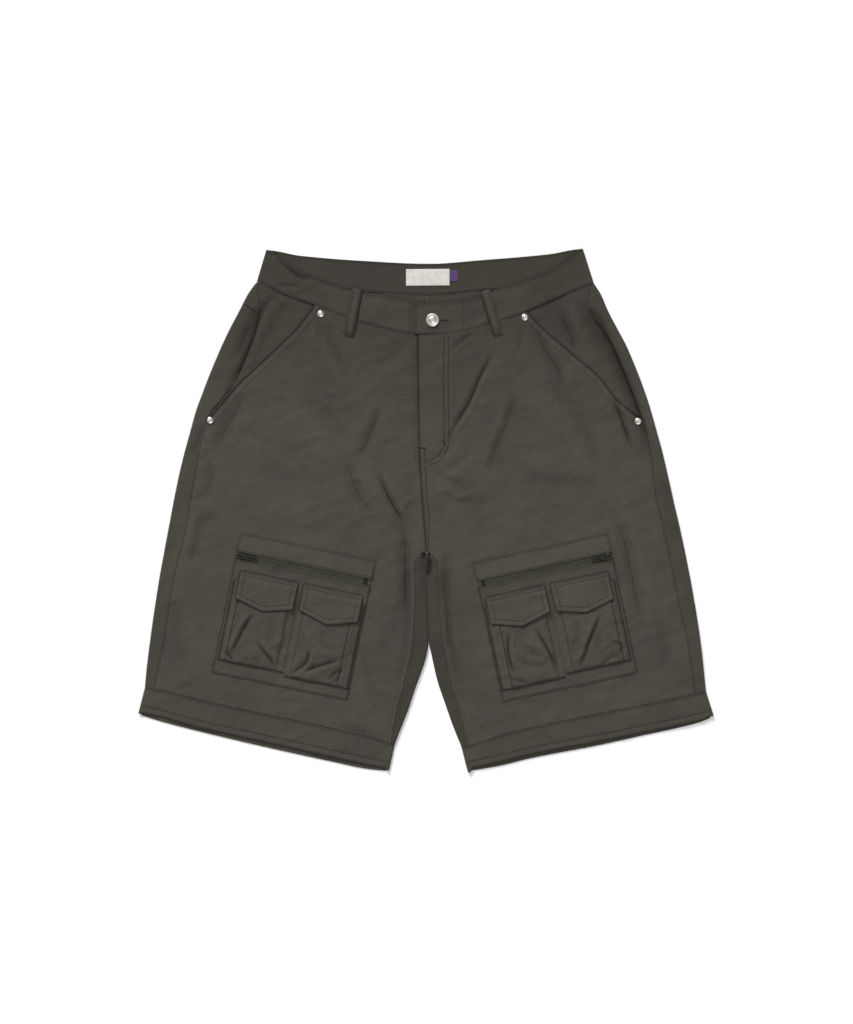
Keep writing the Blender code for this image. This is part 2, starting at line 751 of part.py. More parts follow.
def add_back_band(collection):
    """The back of the waistband, lying on the floor between the two folded sides."""
    inset = (LIFT + BAND_RISE) / 2 + BAND_TUCK + GAP
    rows = []
    for f in (0, 0.5, 1):
        ends = []
        for side in (RIGHT, LEFT):
            top_end, seam_end = WAIST_SIDE[side.name]
            ends.append(top_end.x + (seam_end.x - top_end.x) * f - side.sign * inset)
        row = []
        for x in np.linspace(ends[0], ends[1], 25):
            top_y = column(BACK_WAIST, "x", "top", x)
            seam_y = column(BACK_WAIST, "x", "seam", x)
            row.append([x, top_y + (seam_y - top_y) * f, BAND_WALL])
        rows.append(row)
    return cloth("waistband_back", rows, BAND_WALL, "cloth", collection)


HEM_COLUMNS = 12


def add_hem(side, collection):
    """A leg's hem band, a flattened tube. Its back edge shows below its front edge."""
    table = HEM[side.name]
    height = LIFT + GAP
    rows = []
    for f in (0, 0.5, 1):
        ends = {}
        for end in ("outer", "inner"):
            seam, hem = HEM_SIDES[side.name][end]
            ends[end] = np.array(seam) * (1 - f) + np.array(hem) * f
        toward = np.array([-side.sign, 0.0])
        outer_turn = fold_points(ends["outer"], toward, height)
        inner_turn = fold_points(ends["inner"], -toward, height)
        start, end = outer_turn[0][0], inner_turn[0][0]
        front, back = [], []
        for g in np.linspace(0, 1, HEM_COLUMNS + 1)[1:-1]:
            x = start + (end - start) * g
            seam_y = column(table, "x", "seam", x)
            front.append([x, seam_y + (column(table, "x", "front", x) - seam_y) * f, height])
            back.append([x, seam_y + (column(table, "x", "back", x) - seam_y) * f, 0.0])
        row = outer_turn[::-1] + front + inner_turn + back[::-1] + [outer_turn[-1]]
        rows.append(row)
    points = np.array(rows)
    points[0, :, 1] = column(table, "x", "seam", points[0, :, 0]) - GAP / 2
    return cloth("hem_band_" + side.name, points, BAND_WALL, "cloth", collection, ring=True)


# ---- cargo units ----

Grid = namedtuple("Grid", "start across down")    # a cargo piece's places in its unit


def cargo_cloth(name, side, grid, height, wall, kind, collection, fall=None):
    """A piece of a cargo unit: a grid of places across and down it, at a height above the front panel."""
    rows = []
    for t in grid.down:
        row = []
        for s in grid.across:
            down = t if fall is None else fall(s, t)
            x, y = cargo_point(side, grid.start + s, down)
            row.append([x, y, LIFT + height(grid.start + s, down)])
        rows.append(row)
    return cloth(name + "_" + side.name, rows, wall, kind, collection)


def patch_top(s, t):
    """The cloth beside the zip stands over the zip's tape and comes down to the panel away from it."""
    if t < ZIP_TOP + 1:
        rise = ZIP_RISE * ease(t / ZIP_TOP)
    else:
        rise = ZIP_RISE * (1 - ease((t - ZIP_BOTTOM) / (PATCH_DOWN - ZIP_BOTTOM)))
    return REST + WALL + rise


def bag_fullness(t):
    return BAG["least"] + (1 - BAG["least"]) * ease((t - BAG_TOP) / BAG["fill"])


def bag_height(bag, s, t):
    """The bellows bag stands off the patch: low under the flap and full below it, with a dent down it."""
    side_edge = min(s - bag.start, bag.end - s)
    closed = ease(side_edge / BAG["side"]) * ease((bag.bottom - t) / BAG["foot"])
    from_middle = (s - (bag.start + bag.end) / 2) / BAG["dent_width"]
    dent = 1 - BAG["dent"] * math.exp(-(from_middle**2)) * ease((t - FLAP_POINT) / BAG_DENT_FADE)
    return 2 * (REST + WALL) + BAG["puff"] * bag_fullness(t) * closed * dent


def flap_height(t):
    """The flap is sewn to the patch at its top and lies over the bag below."""
    over_bag = REST + WALL + BAG["puff"] * bag_fullness(t)
    raised = ease((t - FLAP_TOP - 1) / FLAP_RISE)
    return REST + WALL + REST + FLAP_WALL + over_bag * raised


def add_bag(side, bag, collection):
    width = bag.end - bag.start
    edge, half_edge = BAG["side"], BAG["side"] / 2
    body = np.linspace(14, width - 14, 5)
    across = [0, half_edge, edge, *body, width - edge, width - half_edge, width]
    foot = [bag.bottom - BAG["foot"], bag.bottom - BAG["foot"] / 2, bag.bottom]
    grid = Grid(bag.start, across, [BAG_TOP, 70, 82, 96, 110, 124, 138, 150, *foot])

    def height(s, t):
        return bag_height(bag, s, t)

    cargo_cloth("bag_" + bag.name, side, grid, height, WALL, "cloth", collection)


def add_flap(side, flap, collection):
    half = (flap.end - flap.start) / 2
    grid = Grid(flap.start, np.linspace(0, 2 * half, 7), (0, 0.15, 0.3, 0.6, 1))

    def fall(s, share):
        """The flap's lower edge comes to a point in its middle."""
        point = flap.side_drop + (FLAP_POINT - flap.side_drop) * (1 - abs(s - half) / half)
        return FLAP_TOP + (point - FLAP_TOP) * share

    def height(s, t):
        return flap_height(t)

    cargo_cloth("flap_" + flap.name, side, grid, height, FLAP_WALL, "cloth", collection, fall=fall)


def add_cargo(side, collection):
    wide = np.linspace(0, CARGO_WIDTH, 13)
    strip = Grid(0, wide, (0, 6, 14, ZIP_TOP))
    cargo_cloth("cargo_top_strip", side, strip, patch_top, WALL, "cloth", collection)
    patch = Grid(0, wide, (ZIP_BOTTOM, 38, 43, 52, 62, 75, 90, 105, 120, 135, 150, 165, 176, CARGO_HEIGHT))
    cargo_cloth("cargo_patch", side, patch, patch_top, WALL, "cloth", collection)

    def tape_top(s, t):
        return REST + TAPE_WALL

    tape_places = np.linspace(TAPE_INSET, CARGO_WIDTH - TAPE_INSET, 13)
    tape = Grid(0, tape_places, (ZIP_TOP - TAPE_EDGE, ZIP_BOTTOM + TAPE_EDGE))
    cargo_cloth("zip_tape", side, tape, tape_top, TAPE_WALL, "tape", collection)
    for bag in BAGS:
        add_bag(side, bag, collection)
    for flap in FLAPS:
        add_flap(side, flap, collection)


# ---- hardware ----

def heading(side):
    """Turns +X along the zip, towards the inner leg."""
    along, _ = cargo_axes(side)
    return math.atan2(along[1], along[0])


def add_slider(side, base, parts, cutters):
    """The slider's body with its crown, a small bridge that holds the pull tab."""
    length, width, height = SLIDER["length"], SLIDER["width"], SLIDER["height"]
    slider = block("zip_slider_" + side.name, (length, width, height), (0, 0, height / 2), "nickel", parts)
    add_bevel(slider, 0.6)
    crown_size = (CROWN["length"], CROWN["width"], CROWN["height"] + 2 * CROWN["sink"])
    crown_middle = height + CROWN["height"] / 2 - CROWN["sink"]
    crown = block("crown_" + side.name, crown_size, (0, 0, crown_middle), None, cutters)
    window_height = CROWN["height"] - CROWN["bar"]
    window_size = (CROWN["window"], 3 * CROWN["width"], window_height)
    window_middle = height + window_height / 2 + CROWN["clear"]
    window = block("window_" + side.name, window_size, (0, 0, window_middle), None, cutters)
    cut_or_join(slider, crown, "UNION")
    cut_or_join(slider, window, "DIFFERENCE")
    x, y = cargo_point(side, SLIDER["along"], SLIDER["across"])
    for obj in (slider, crown, window):
        obj.location = Vector((x, y, base)) * MM
        obj.rotation_euler.z = heading(side)


def add_pull(side, base, parts, cutters):
    """The pull tab, a plate with an eye at one end. Its origin is on its hinge, inside the crown."""
    length, width, bar = PULL["length"], PULL["width"], PULL["bar"]
    middle = (length / 2 - bar / 2, 0, 0)
    pull = block("zip_pull_" + side.name, (length, width, PULL["thick"]), middle, "nickel", parts)
    add_bevel(pull, 0.25)
    eye_size = (PULL["window"], width - 2 * PULL["arm"], 4 * PULL["thick"])
    eye_middle = (bar / 2 + PULL["window"] / 2, 0, 0)
    eye = block("pull_eye_" + side.name, eye_size, eye_middle, None, cutters)
    cut_or_join(pull, eye, "DIFFERENCE")
    x, y = cargo_point(side, SLIDER["along"], SLIDER["across"])
    for obj in (pull, eye):
        obj.location = Vector((x, y, base + SLIDER["height"] + PULL["axis"])) * MM
        obj.rotation_euler = (0, math.radians(PULL["droop"]), heading(side))


def add_stop(side, base, parts):
    """The stop at the zip's inner end."""
    size = (STOP["length"], STOP["width"], STOP["height"])
    stop = block("zip_stop_" + side.name, size, (0, 0, STOP["height"] / 2), "nickel", parts)
    add_bevel(stop, 0.4)
    x, y = cargo_point(side, STOP["along"], SLIDER["across"])
    stop.location = Vector((x, y, base)) * MM
    stop.rotation_euler.z = heading(side)


def add_zip_metal(side, parts, cutters):
    base = LIFT + REST + TAPE_WALL + GAP
    add_slider(side, base, parts, cutters)
    add_pull(side, base, parts, cutters)
    add_stop(side, base, parts)


def add_fasteners(parts):
    button = turned("tack_button", BUTTON_PROFILE, 20, "nickel", parts)
    button.location = Vector((BUTTON.x, BUTTON.y, LIFT + BAND_RISE + GAP)) * MM
    for name, spot in RIVETS.items():
        rivet = turned("rivet_" + name, RIVET_PROFILE, 12, "nickel", parts)
        rivet.location = Vector((spot.x, spot.y, lift(spot.x, spot.y) + GAP + RIVET_STAND)) * MM


def add_loop(side, parts):
    """A belt loop: folded over the band's top edge, bowed out over the band and sewn down below its seam."""
    top, bottom = (np.array(spot) for spot in LOOPS[side.name])
    length = np.linalg.norm(bottom - top)
    down = (bottom - top) / length
    across = np.array([-down[1], down[0]])
    band_top = LIFT + BAND_RISE
    stand = band_top + LOOP["stand"]
    profile = [(-LOOP["overhang"], band_top - LOOP["tuck"])]
    profile += [(-LOOP["overhang"] * 2 / 3, band_top + LOOP["stand"] / 2), (2.0, stand)]
    for f in (0.2, 0.35, 0.5, 0.65, 0.8):
        profile.append((length * f, stand + LOOP["bow"] * math.sin(math.pi * f)))
    profile += [(length - LOOP["foot"], stand), (length, LIFT + REST + LOOP_WALL + GAP)]
    rows = []
    for reach, z in profile:
        middle = top + down * reach
        rows.append([[*(middle + across * LOOP_WIDTH * g), z] for g in (-0.5, 0, 0.5)])
    return cloth("belt_loop_" + side.name, rows, LOOP_WALL, "cloth", parts)


def add_flat_label(name, corners, kind, parts):
    """A flat piece on the inside of the back waistband."""
    low, high = corners
    z = BAND_WALL + GAP + LABEL_WALL
    rows = [[[x, y, z] for x in np.linspace(low.x, high.x, 4)] for y in np.linspace(high.y, low.y, 3)]
    return cloth(name, rows, LABEL_WALL, kind, parts)


def main():
    for obj in list(bpy.data.objects):
        bpy.data.objects.remove(obj, do_unlink=True)
    parts = bpy.data.collections.new("convertible_trousers")
    cutters = bpy.data.collections.new("cutters")
    for collection in (parts, cutters):
        bpy.context.scene.collection.children.link(collection)
    for side in (RIGHT, LEFT):
        add_back(side, parts)
        add_front(side, parts)
        add_facing(side, parts)
        add_front_band(side, parts)
        add_hem(side, parts)
        add_cargo(side, parts)
        add_zip_metal(side, parts, cutters)
        add_loop(side, parts)
    add_back_band(parts)
    add_fasteners(parts)
    add_flat_label("waist_label", LABEL, "label", parts)
    add_flat_label("size_tab", SIZE_TAB, "size_tab", parts)


main()
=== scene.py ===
import math
from collections import namedtuple

import bmesh
import bpy
import numpy as np
from mathutils import Matrix, Vector
from mathutils.bvhtree import BVHTree


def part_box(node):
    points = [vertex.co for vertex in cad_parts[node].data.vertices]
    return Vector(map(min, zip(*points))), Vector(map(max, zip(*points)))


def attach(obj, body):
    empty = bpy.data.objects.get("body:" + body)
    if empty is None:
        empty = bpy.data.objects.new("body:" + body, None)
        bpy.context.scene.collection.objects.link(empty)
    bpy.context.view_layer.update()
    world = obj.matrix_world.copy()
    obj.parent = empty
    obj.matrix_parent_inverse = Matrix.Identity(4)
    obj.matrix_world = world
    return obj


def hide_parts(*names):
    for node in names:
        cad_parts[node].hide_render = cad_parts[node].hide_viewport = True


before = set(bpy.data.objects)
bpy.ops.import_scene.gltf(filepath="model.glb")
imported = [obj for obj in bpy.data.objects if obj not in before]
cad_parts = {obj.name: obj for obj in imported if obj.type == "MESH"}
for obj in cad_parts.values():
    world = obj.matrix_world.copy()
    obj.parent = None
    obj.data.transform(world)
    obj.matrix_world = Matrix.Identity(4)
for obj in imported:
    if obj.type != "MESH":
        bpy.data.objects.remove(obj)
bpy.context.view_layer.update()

print("frame loaded:", len(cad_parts), "nodes")

# Tables are in millimetres, in the frame's own axes; meshes are in metres. The wearer's right is at -X.
mm = 0.001
gap = 0.3
lift = 5.5    # the front's height above the floor where it has no folds
upperSide = 2.4    # a point of a wrapped sheet that is higher than this lies on its upper side
crispDepth = 1.1    # a crease that is deeper than this has a crisp line in it
foldGain = 1.15

OuterRow = namedtuple("OuterRow", "y outline wrap")    # wrap: how far the back shows on top
InnerRow = namedtuple("InnerRow", "y edge inseam height")
WaistRow = namedtuple("WaistRow", "x top seam")
HemRow = namedtuple("HemRow", "x seam front back")
Crease = namedtuple("Crease", "line width depth lean")    # lean: the side of the line where the cloth swells
Ridge = namedtuple("Ridge", "line width height")
Shade = namedtuple("Shade", "line width depth lean")    # a soft painted shade, wider on the side that it leans to
Pin = namedtuple("Pin", "x y radius fade height")

sides = ("Right", "Left")
sign = {"Right": -1, "Left": 1}


def rowsOf(kind, *rows):
    return [kind(*row) for row in rows]


outerEdge = {
    "Right": rowsOf(OuterRow, (298, -220, 3), (283, -231, 12), (262, -242, 26), (222, -262.5, 37),
                    (170, -284.5, 38), (150, -292, 31), (131, -299, 20), (108, -305.5, 18), (53, -320, 21),
                    (-25, -335.5, 23), (-103, -349.5, 19), (-168, -359, 19), (-209, -364, 15),
                    (-231, -366, 12.5)),
    "Left": rowsOf(OuterRow, (295.2, 219, 4), (282, 227.5, 16), (261, 236.5, 25), (237, 249, 18),
                   (212, 262, 19), (157, 284, 17.5), (131, 292.5, 16), (108, 299, 14.5), (79, 307, 15.5),
                   (14, 322, 22), (-48, 336, 22), (-116, 349, 21), (-172, 357.5, 17), (-235, 364.5, 15)),
}
innerEdge = {
    "Right": rowsOf(InnerRow, (-57, 0.58, -8, 2.8), (-67, 0.6, -15.5, 2.8), (-86, 0.7, -16, 3.2),
                    (-110, 1.1, -15.5, 4.2), (-168, 3.3, -18, 5.0), (-187, 1.0, -21, 5.5),
                    (-211, -6.5, -26.5, 5.5), (-233, -14.5, -31.5, 5.5), (-256, -22, -38, 5.5),
                    (-287, -34, -44, 5.5), (-304, -40.5, -46.5, 5.5)),
    "Left": rowsOf(InnerRow, (-57, 0.6, 8, 2.8), (-67, 0.62, 14.5, 2.8), (-86, 0.72, 16.5, 3.2),
                   (-110, 1.14, 17.5, 4.2), (-168, 3.5, 22, 5.0), (-191, 8.0, 27, 5.5), (-220, 14.5, 32.5, 5.5),
                   (-254, 26, 43, 5.5), (-277, 34, 48.5, 5.5), (-308, 46.5, 55.5, 5.5)),
}
frontWaist = {
    "Right": rowsOf(WaistRow, (-217, 339, 298.5), (-206.5, 339, 293), (-196.5, 334, 287), (-177, 317, 279),
                    (-148, 304, 269), (-106, 288.5, 253), (-53.5, 279, 237.5), (-12, 271.5, 230),
                    (20, 270, 230)),
    "Left": rowsOf(WaistRow, (-15, 270.5, 230), (5, 270, 230), (31, 271, 231), (48, 272.5, 234),
                   (96, 289.5, 247.5), (124, 298, 257), (161, 311.5, 273), (188.5, 330, 285), (202, 340.5, 290),
                   (216, 340.5, 295.5)),
}
backWaist = rowsOf(WaistRow, (-217, 339, 298.5), (-206.5, 339, 297), (-164, 332, 291), (-86, 325.5, 286),
                   (5, 321.5, 281), (70, 326, 286.5), (161, 334, 291), (202, 340.5, 294.5), (216, 340.5, 295.5))
waistSide = {"Right": ((-208, 339), (-220, 298.5)), "Left": ((204.3, 340.5), (218.5, 295.5))}
hemLine = {
    "Right": rowsOf(HemRow, (-374.5, -229, -261, -265), (-346, -233.5, -267, -274), (-294, -246, -281, -287.5),
                    (-229, -261, -295.5, -303), (-125, -282.5, -318.5, -326), (-73, -295, -330, -336.5),
                    (-40, -304.5, -336, -339.5)),
    "Left": rowsOf(HemRow, (46, -309.5, -336, -340.5), (96, -293, -325.5, -332), (135, -283, -316, -322.5),
                   (226, -264, -298.5, -305), (278, -254, -288, -293.5), (356, -237.5, -271.5, -275.5),
                   (374.5, -234, -264, -268)),
}
hemSides = {
    "Right": {"outer": ((-366, -231), (-374.5, -264)), "inner": ((-40.5, -304.5), (-48, -338))},
    "Left": {"outer": ((364.5, -235.5), (374.5, -267)), "inner": ((46.5, -309.2), (54.5, -340.5))},
}
mouth = {
    "Right": [(-145, 268), (-164, 241), (-203, 202.5), (-245.5, 162), (-264, 140), (-281.5, 119)],
    "Left": [(131, 259.5), (149.5, 239), (187, 206.5), (226, 172.5), (249, 143), (279.5, 119)],
}
mouthEnd = 119
centreFront = [(-11, 229.7), (-10, 144), (-9, 83), (-6.5, 35), (-3.5, -5), (0.5, -52)]
flyBottom = 83
crotch = -57
# corner x, corner y, tilt in degrees
cargoUnit = {"Right": (-241.5, -28.5, 11.6), "Left": (236.5, -29.5, 12.1)}
cargoWidth, cargoHeight = 180, 185
zipLine = 29.2    # how far down its unit a zip runs
zipEnds = {"slider": 7, "stop": 172}
buttonSpot = (8.5, 248)
rivetSpots = {
    "rivetUpperRight": (-137, 256),
    "rivetUpperLeft": (128.5, 251.5),
    "rivetLowerRight": (-280.6, 117.6),
    "rivetLowerLeft": (275.6, 116.4),
}

# Folds of the front, read from the photograph: troughs with a swell beside them, and broad soft ridges.
frontCreases = rowsOf(Crease,
    ([(90, 210), (71, 176), (57, 143), (44, 121), (35, 105), (28, 82)], 3, 2.5, 1),
    ([(64, 232), (48, 222), (33, 208)], 3, 1.3, 1),
    ([(119, 152), (98, 98), (78, 45)], 5, 1.6, -1),
    ([(139, 240), (153, 213), (172, 183), (181, 156)], 6, 1.8, 1),
    ([(196, 140), (216, 82), (226, 49)], 8, 1.4, -1),
    ([(240, 152), (249, 131), (256, 114), (268, 78)], 4, 2.4, 1),
    ([(121, 44), (174, 36), (235, 31)], 8, 1.0, 1),
    ([(164, 145), (182, 141), (199, 140)], 5, 0.9, -1),
    ([(61, 6), (81, 10), (99, 11)], 6, 0.9, 1),
    ([(238, 0), (256, -33), (265, -73), (273, -111), (286, -160)], 8, 1.9, 1),
    ([(20, -64), (26, -129), (30, -188)], 7, 1.7, -1),
    ([(127, 245), (124, 225), (118, 201)], 4, 0.9, 1),
    ([(57, 235), (47, 209), (34, 180)], 6, 0.9, -1),
    ([(96, 150), (148, 105), (187, 92)], 14, 1.1, 1),
    ([(38, 53), (70, -12), (96, -28)], 12, 1.2, -1),
    ([(231, -237), (252, -228), (273, -215)], 5, 1.2, 1),
    ([(70, -246), (122, -251), (174, -246)], 7, 0.9, -1),
    ([(298, -116), (309, -168), (315, -215)], 7, 1.2, 1),
    ([(42, -90), (49, -155), (62, -233)], 8, 1.1, -1),
    ([(-138, 245), (-112, 197), (-99, 167)], 6, 1.4, -1),
    ([(-131, 245), (-121, 230), (-114, 217)], 3, 0.9, 1),
    ([(-143, 245), (-136, 222), (-136, 201)], 4, 0.8, -1),
    ([(-57, 140), (-64, 121), (-77, 91), (-91, 61)], 6, 1.9, -1),
    ([(-104, 69), (-94, 36), (-82, 11), (-61, -4)], 8, 1.8, 1),
    ([(-64, 53), (-48, 16), (-33, -10), (-29, -20)], 3.5, 2.5, 1),
    ([(-29, -14), (-27, -64), (-28, -142)], 7, 1.9, 1),
    ([(-24, -2), (-22, 7), (-12, 12)], 3, 1.2, 1),
    ([(-233, 154), (-248, 128), (-270, 89), (-281, 85)], 7, 1.6, 1),
    ([(-243, 104), (-222, 96), (-200, 88)], 5, 1.0, -1),
    ([(-286, 63), (-278, 44), (-292, 11)], 6, 1.4, 1),
    ([(-263, -8), (-290, -13), (-298, -35), (-311, -85)], 7, 1.6, -1),
    ([(-27, 219), (-44, 201), (-70, 188)], 7, 1.0, 1),
    ([(-164, 150), (-125, 118), (-112, 85)], 13, 1.2, -1),
    ([(-213, 53), (-164, 40), (-112, 43)], 11, 0.9, 1),
    ([(-322, -232), (-312, -229), (-303, -225)], 5, 1.2, 1),
    ([(-199, -245), (-179, -249), (-160, -250)], 5, 1.1, -1),
    ([(-116, -277), (-86, -289), (-55, -299)], 5, 1.2, 1),
    ([(-86, -168), (-70, -233), (-60, -267)], 8, 1.2, -1),
    ([(-320, -116), (-322, -168), (-312, -210)], 8, 1.1, 1),
    ([(-16, 53), (-23, 14), (-18, -25)], 7, 1.2, 1),
    ([(-187, 275), (-203, 274), (-215, 263), (-226, 246)], 5, 1.5, 1),
    ([(-225, 250), (-241, 214), (-255, 189)], 6, 1.5, 1),
    ([(-200, 275), (-214, 258), (-221, 241), (-230, 215), (-242, 187), (-255, 161), (-262, 146)], 5, 1.3, 1),
    ([(-289, 112), (-297, 86), (-304, 70)], 4.5, 1.6, 1),
    ([(211, 264), (239, 222), (252, 193), (265, 163), (275, 137), (283, 115), (288, 92), (293, 59)], 6, 1.3, 1),
    ([(305, 60), (317, 10), (330, -48)], 6, 1.2, 1),
    ([(-177, 274), (-192, 251), (-213, 219)], 8, 1.0, 1),
    ([(-195, 326), (-178, 314), (-164, 304), (-148, 300)], 3, 1.6, 1),
    ([(-194, 294), (-178, 292), (-164, 292)], 2.6, 1.3, -1),
    ([(5, 60), (22, 45), (52, 30)], 4, 1.2, 1),
    ([(12, 18), (28, 20), (44, 12), (70, 14)], 3.5, 1.2, 1),
    ([(10, 66), (28, 78), (40, 96)], 3.5, 1.1, -1),
    ([(18, 48), (48, 66), (62, 92)], 5, 1.2, -1),
    ([(172, 266), (185, 235), (198, 206)], 7, 1.8, 1),
    ([(198, 274), (216, 235), (234, 196)], 8, 1.3, -1))
# Soft shade that the photograph shows beside its folds.
# painted shade: these darken the cloth's colour beside the folds and have no height
frontPaintedShades = rowsOf(Shade,
    ([(205, 276), (222, 258), (239, 222), (252, 193), (265, 163), (275, 137), (283, 115), (288, 92),
      (293, 59)], 12, 0.5, -1),
    ([(-200, 275), (-214, 258), (-221, 241), (-230, 215), (-242, 187), (-255, 161), (-262, 146)], 4.5, 0.4, 0),
    ([(-222, 268), (-230, 245), (-240, 222), (-249, 200)], 6, 0.25, 0),
    ([(4.2, -60), (3.8, -70), (2.6, -84)], 2.9, 1.5, 0),
    ([(-8, -60), (-1, -58), (7, -60)], 2.4, 0.8, 0),
    ([(-258, 150), (-268, 118), (-280, 92)], 8, 0.16, 1),
    ([(-60, 48), (-34, -6), (-28, -64), (-30, -150)], 8, 0.2, 0),
    ([(20, -40), (25, -100), (29, -160), (44, -240)], 8, 0.42, 1),
    ([(-22, -50), (-23, -110), (-26, -170), (-38, -240)], 6, 0.25, -1),
    ([(88, 206), (70, 172), (56, 141), (38, 108)], 6, 0.22, -1),
    ([(120, 152), (98, 98), (78, 45)], 9, 0.14, 0),
    ([(245, 150), (252, 128), (262, 98), (272, 78)], 6, 0.22, 1),
    ([(160, 190), (176, 150), (186, 128)], 9, 0.1, 0),
    ([(-120, 150), (-92, 128), (-60, 120)], 10, 0.08, 0))
frontRidges = rowsOf(Ridge,
    ([(-38, 144), (-60, 85), (-75, 59)], 17, 1.5),
    ([(-125, 92), (-108, 20), (-78, -19)], 18, 1.4),
    ([(-177, 196), (-160, 118), (-151, 59)], 26, 1.3),
    ([(-62, -64), (-62, -129), (-68, -194)], 18, 1.3),
    ([(-290, 14), (-307, -58), (-321, -142)], 17, 1.2),
    ([(108, 215), (78, 149), (52, 102)], 14, 1.5),
    ([(62, -64), (64, -129), (75, -194)], 18, 1.3),
    ([(150, 189), (160, 131), (176, 79)], 24, 1.4),
    ([(254, 30), (282, -60), (304, -150)], 17, 1.3),
    ([(200, 209), (229, 160), (250, 110)], 20, 1.2),
    ([(-8, 215), (8, 144), (10, 92)], 14, 0.6),
    ([(96, 53), (174, 63), (239, 53)], 18, 0.9),
    ([(-229, 14), (-164, -2), (-96, 4)], 18, 0.9))
# The back, which the photograph doesn't show: places where its cloth lifts a little off the floor.
backRidges = rowsOf(Ridge,
    ([(-170, 230), (-120, 160), (-60, 90)], 9, 1.5),
    ([(180, 235), (140, 150), (70, 70)], 8, 1.6),
    ([(-250, 120), (-200, 40), (-120, -20)], 10, 1.3),
    ([(255, 110), (190, 60), (90, 10)], 9, 1.4),
    ([(-40, 40), (-80, -40), (-90, -130)], 8, 1.6),
    ([(45, 30), (75, -60), (80, -150)], 9, 1.4),
    ([(-300, -60), (-240, -120), (-150, -140)], 9, 1.2),
    ([(305, -80), (230, -130), (140, -170)], 8, 1.4),
    ([(-280, -200), (-200, -210), (-120, -240)], 7, 1.0),
    ([(290, -200), (200, -220), (110, -250)], 8, 1.1),
    ([(-110, 250), (-60, 200), (-20, 190)], 6, 1.2),
    ([(120, 255), (70, 215), (20, 195)], 6, 1.1))


def curveThrough(places, values, at):
    # a curve through a table's rows that doesn't overshoot them
    order = np.argsort(places)
    xs = np.asarray(places, float)[order]
    ys = np.asarray(values, float)[order]
    secants = np.diff(ys) / np.diff(xs)
    slopes = np.empty(len(xs))
    slopes[0], slopes[-1] = secants[0], secants[-1]
    for i in range(1, len(xs) - 1):
        before, after = secants[i - 1], secants[i]
        slopes[i] = 2 * before * after / (before + after) if before * after > 0 else 0.0
    at = np.clip(at, xs[0], xs[-1])
    k = np.clip(np.searchsorted(xs, at) - 1, 0, len(xs) - 2)
    width = xs[k + 1] - xs[k]
    f = (at - xs[k]) / width
    start = (1 + 2 * f) * (1 - f) ** 2 * ys[k] + f * (1 - f) ** 2 * width * slopes[k]
    return start + f * f * (3 - 2 * f) * ys[k + 1] + f * f * (f - 1) * width * slopes[k + 1]


def column(rows, place, value, at):
    # one named column of a table as a smooth curve over another
    return curveThrough([getattr(row, place) for row in rows], [getattr(row, value) for row in rows], at)


def edgeLine(rows, edge, x=None, shift=0.0):
    # points along one edge of a table that runs across, by default at the table's own places
    x = [row.x for row in rows] if x is None else x
    return np.stack([x, column(rows, "x", edge, x) + shift], axis=-1)


def ease(value):
    value = np.clip(value, 0.0, 1.0)
    return value * value * (3 - 2 * value)


def bell(value):
    return np.exp(-(value**2))


def lessAtEnds(along, reach, least=0.0):
    return ease(np.minimum(along, 1 - along) / reach + least)


def runAlong(line):
    # how far along a line each of its points is
    return np.concatenate([[0], np.cumsum(np.linalg.norm(np.diff(line, axis=0), axis=1))])


def ends(pair):
    return [np.array(spot, float) for spot in pair]


def smoothLine(points, count):
    # points evenly along a soft curve through a few given ones
    points = np.asarray(points, float)
    padded = np.vstack([2 * points[0] - points[1], points, 2 * points[-1] - points[-2]])
    out = []
    for i in range(1, len(padded) - 2):
        p0, p1, p2, p3 = padded[i - 1 : i + 3]
        for f in np.linspace(0, 1, 12, endpoint=False):
            bend = (2 * p0 - 5 * p1 + 4 * p2 - p3) * f**2 + (3 * p1 - 3 * p2 + p3 - p0) * f**3
            out.append(0.5 * (2 * p1 + (p2 - p0) * f + bend))
    out.append(points[-1])
    out = np.array(out)
    run = runAlong(out)
    at = np.linspace(0, run[-1], count)
    return np.stack([np.interp(at, run, out[:, axis]) for axis in range(points.shape[1])], axis=1)


def nearLine(line, x, y):
    # distance to a line, the side it is on, and how far along the nearest point is, from 0 to 1
    points = smoothLine(line, 24)
    away = np.full(x.shape, 1e9)
    onSide = np.zeros(x.shape)
    along = np.zeros(x.shape)
    for i in range(len(points) - 1):
        start, step = points[i], points[i + 1] - points[i]
        f = np.clip(((x - start[0]) * step[0] + (y - start[1]) * step[1]) / (step @ step), 0, 1)
        dx, dy = x - start[0] - step[0] * f, y - start[1] - step[1] * f
        here = np.hypot(dx, dy)
        closer = here < away
        away = np.where(closer, here, away)
        onSide = np.where(closer, np.sign(step[0] * dy - step[1] * dx), onSide)
        along = np.where(closer, (i + f) / (len(points) - 1), along)
    return away, onSide, along


def sideways(away, onSide):
    return away * np.where(onSide == 0, 1, onSide)


def noLines(shape):
    return np.full(shape, 9.0), np.zeros(shape)


def creaseHeight(crease, x, y):
    away, onSide, along = nearLine(crease.line, x, y)
    strength = lessAtEnds(along, 0.3, 0.12)
    trough = bell(away / crease.width)
    swell = bell((away * onSide * crease.lean - 1.9 * crease.width) / (1.3 * crease.width))
    height = crease.depth * strength * (0.5 * swell - 0.9 * trough)
    # the second value is painted light: the trough drawn darker as shade, the swell paler as highlight
    return height, strength * (0.06 * swell - 0.1 * trough) * crease.depth


def creaseLine(crease, x, y):
    # the crisp line of painted shade in a deep crease: how far off it is, in its half widths, and how dark it is
    away, onSide, along = nearLine(crease.line, x, y)
    strength = lessAtEnds(along, 0.35) * ease((crease.depth - 1.0) / 1.5)
    return sideways(away, onSide) / 1.35, 0.75 * strength


def ridgeHeight(ridge, x, y):
    away, _, along = nearLine(ridge.line, x, y)
    strength = lessAtEnds(along, 0.3, 0.12)
    return ridge.height * strength * bell(away / ridge.width), 0.0


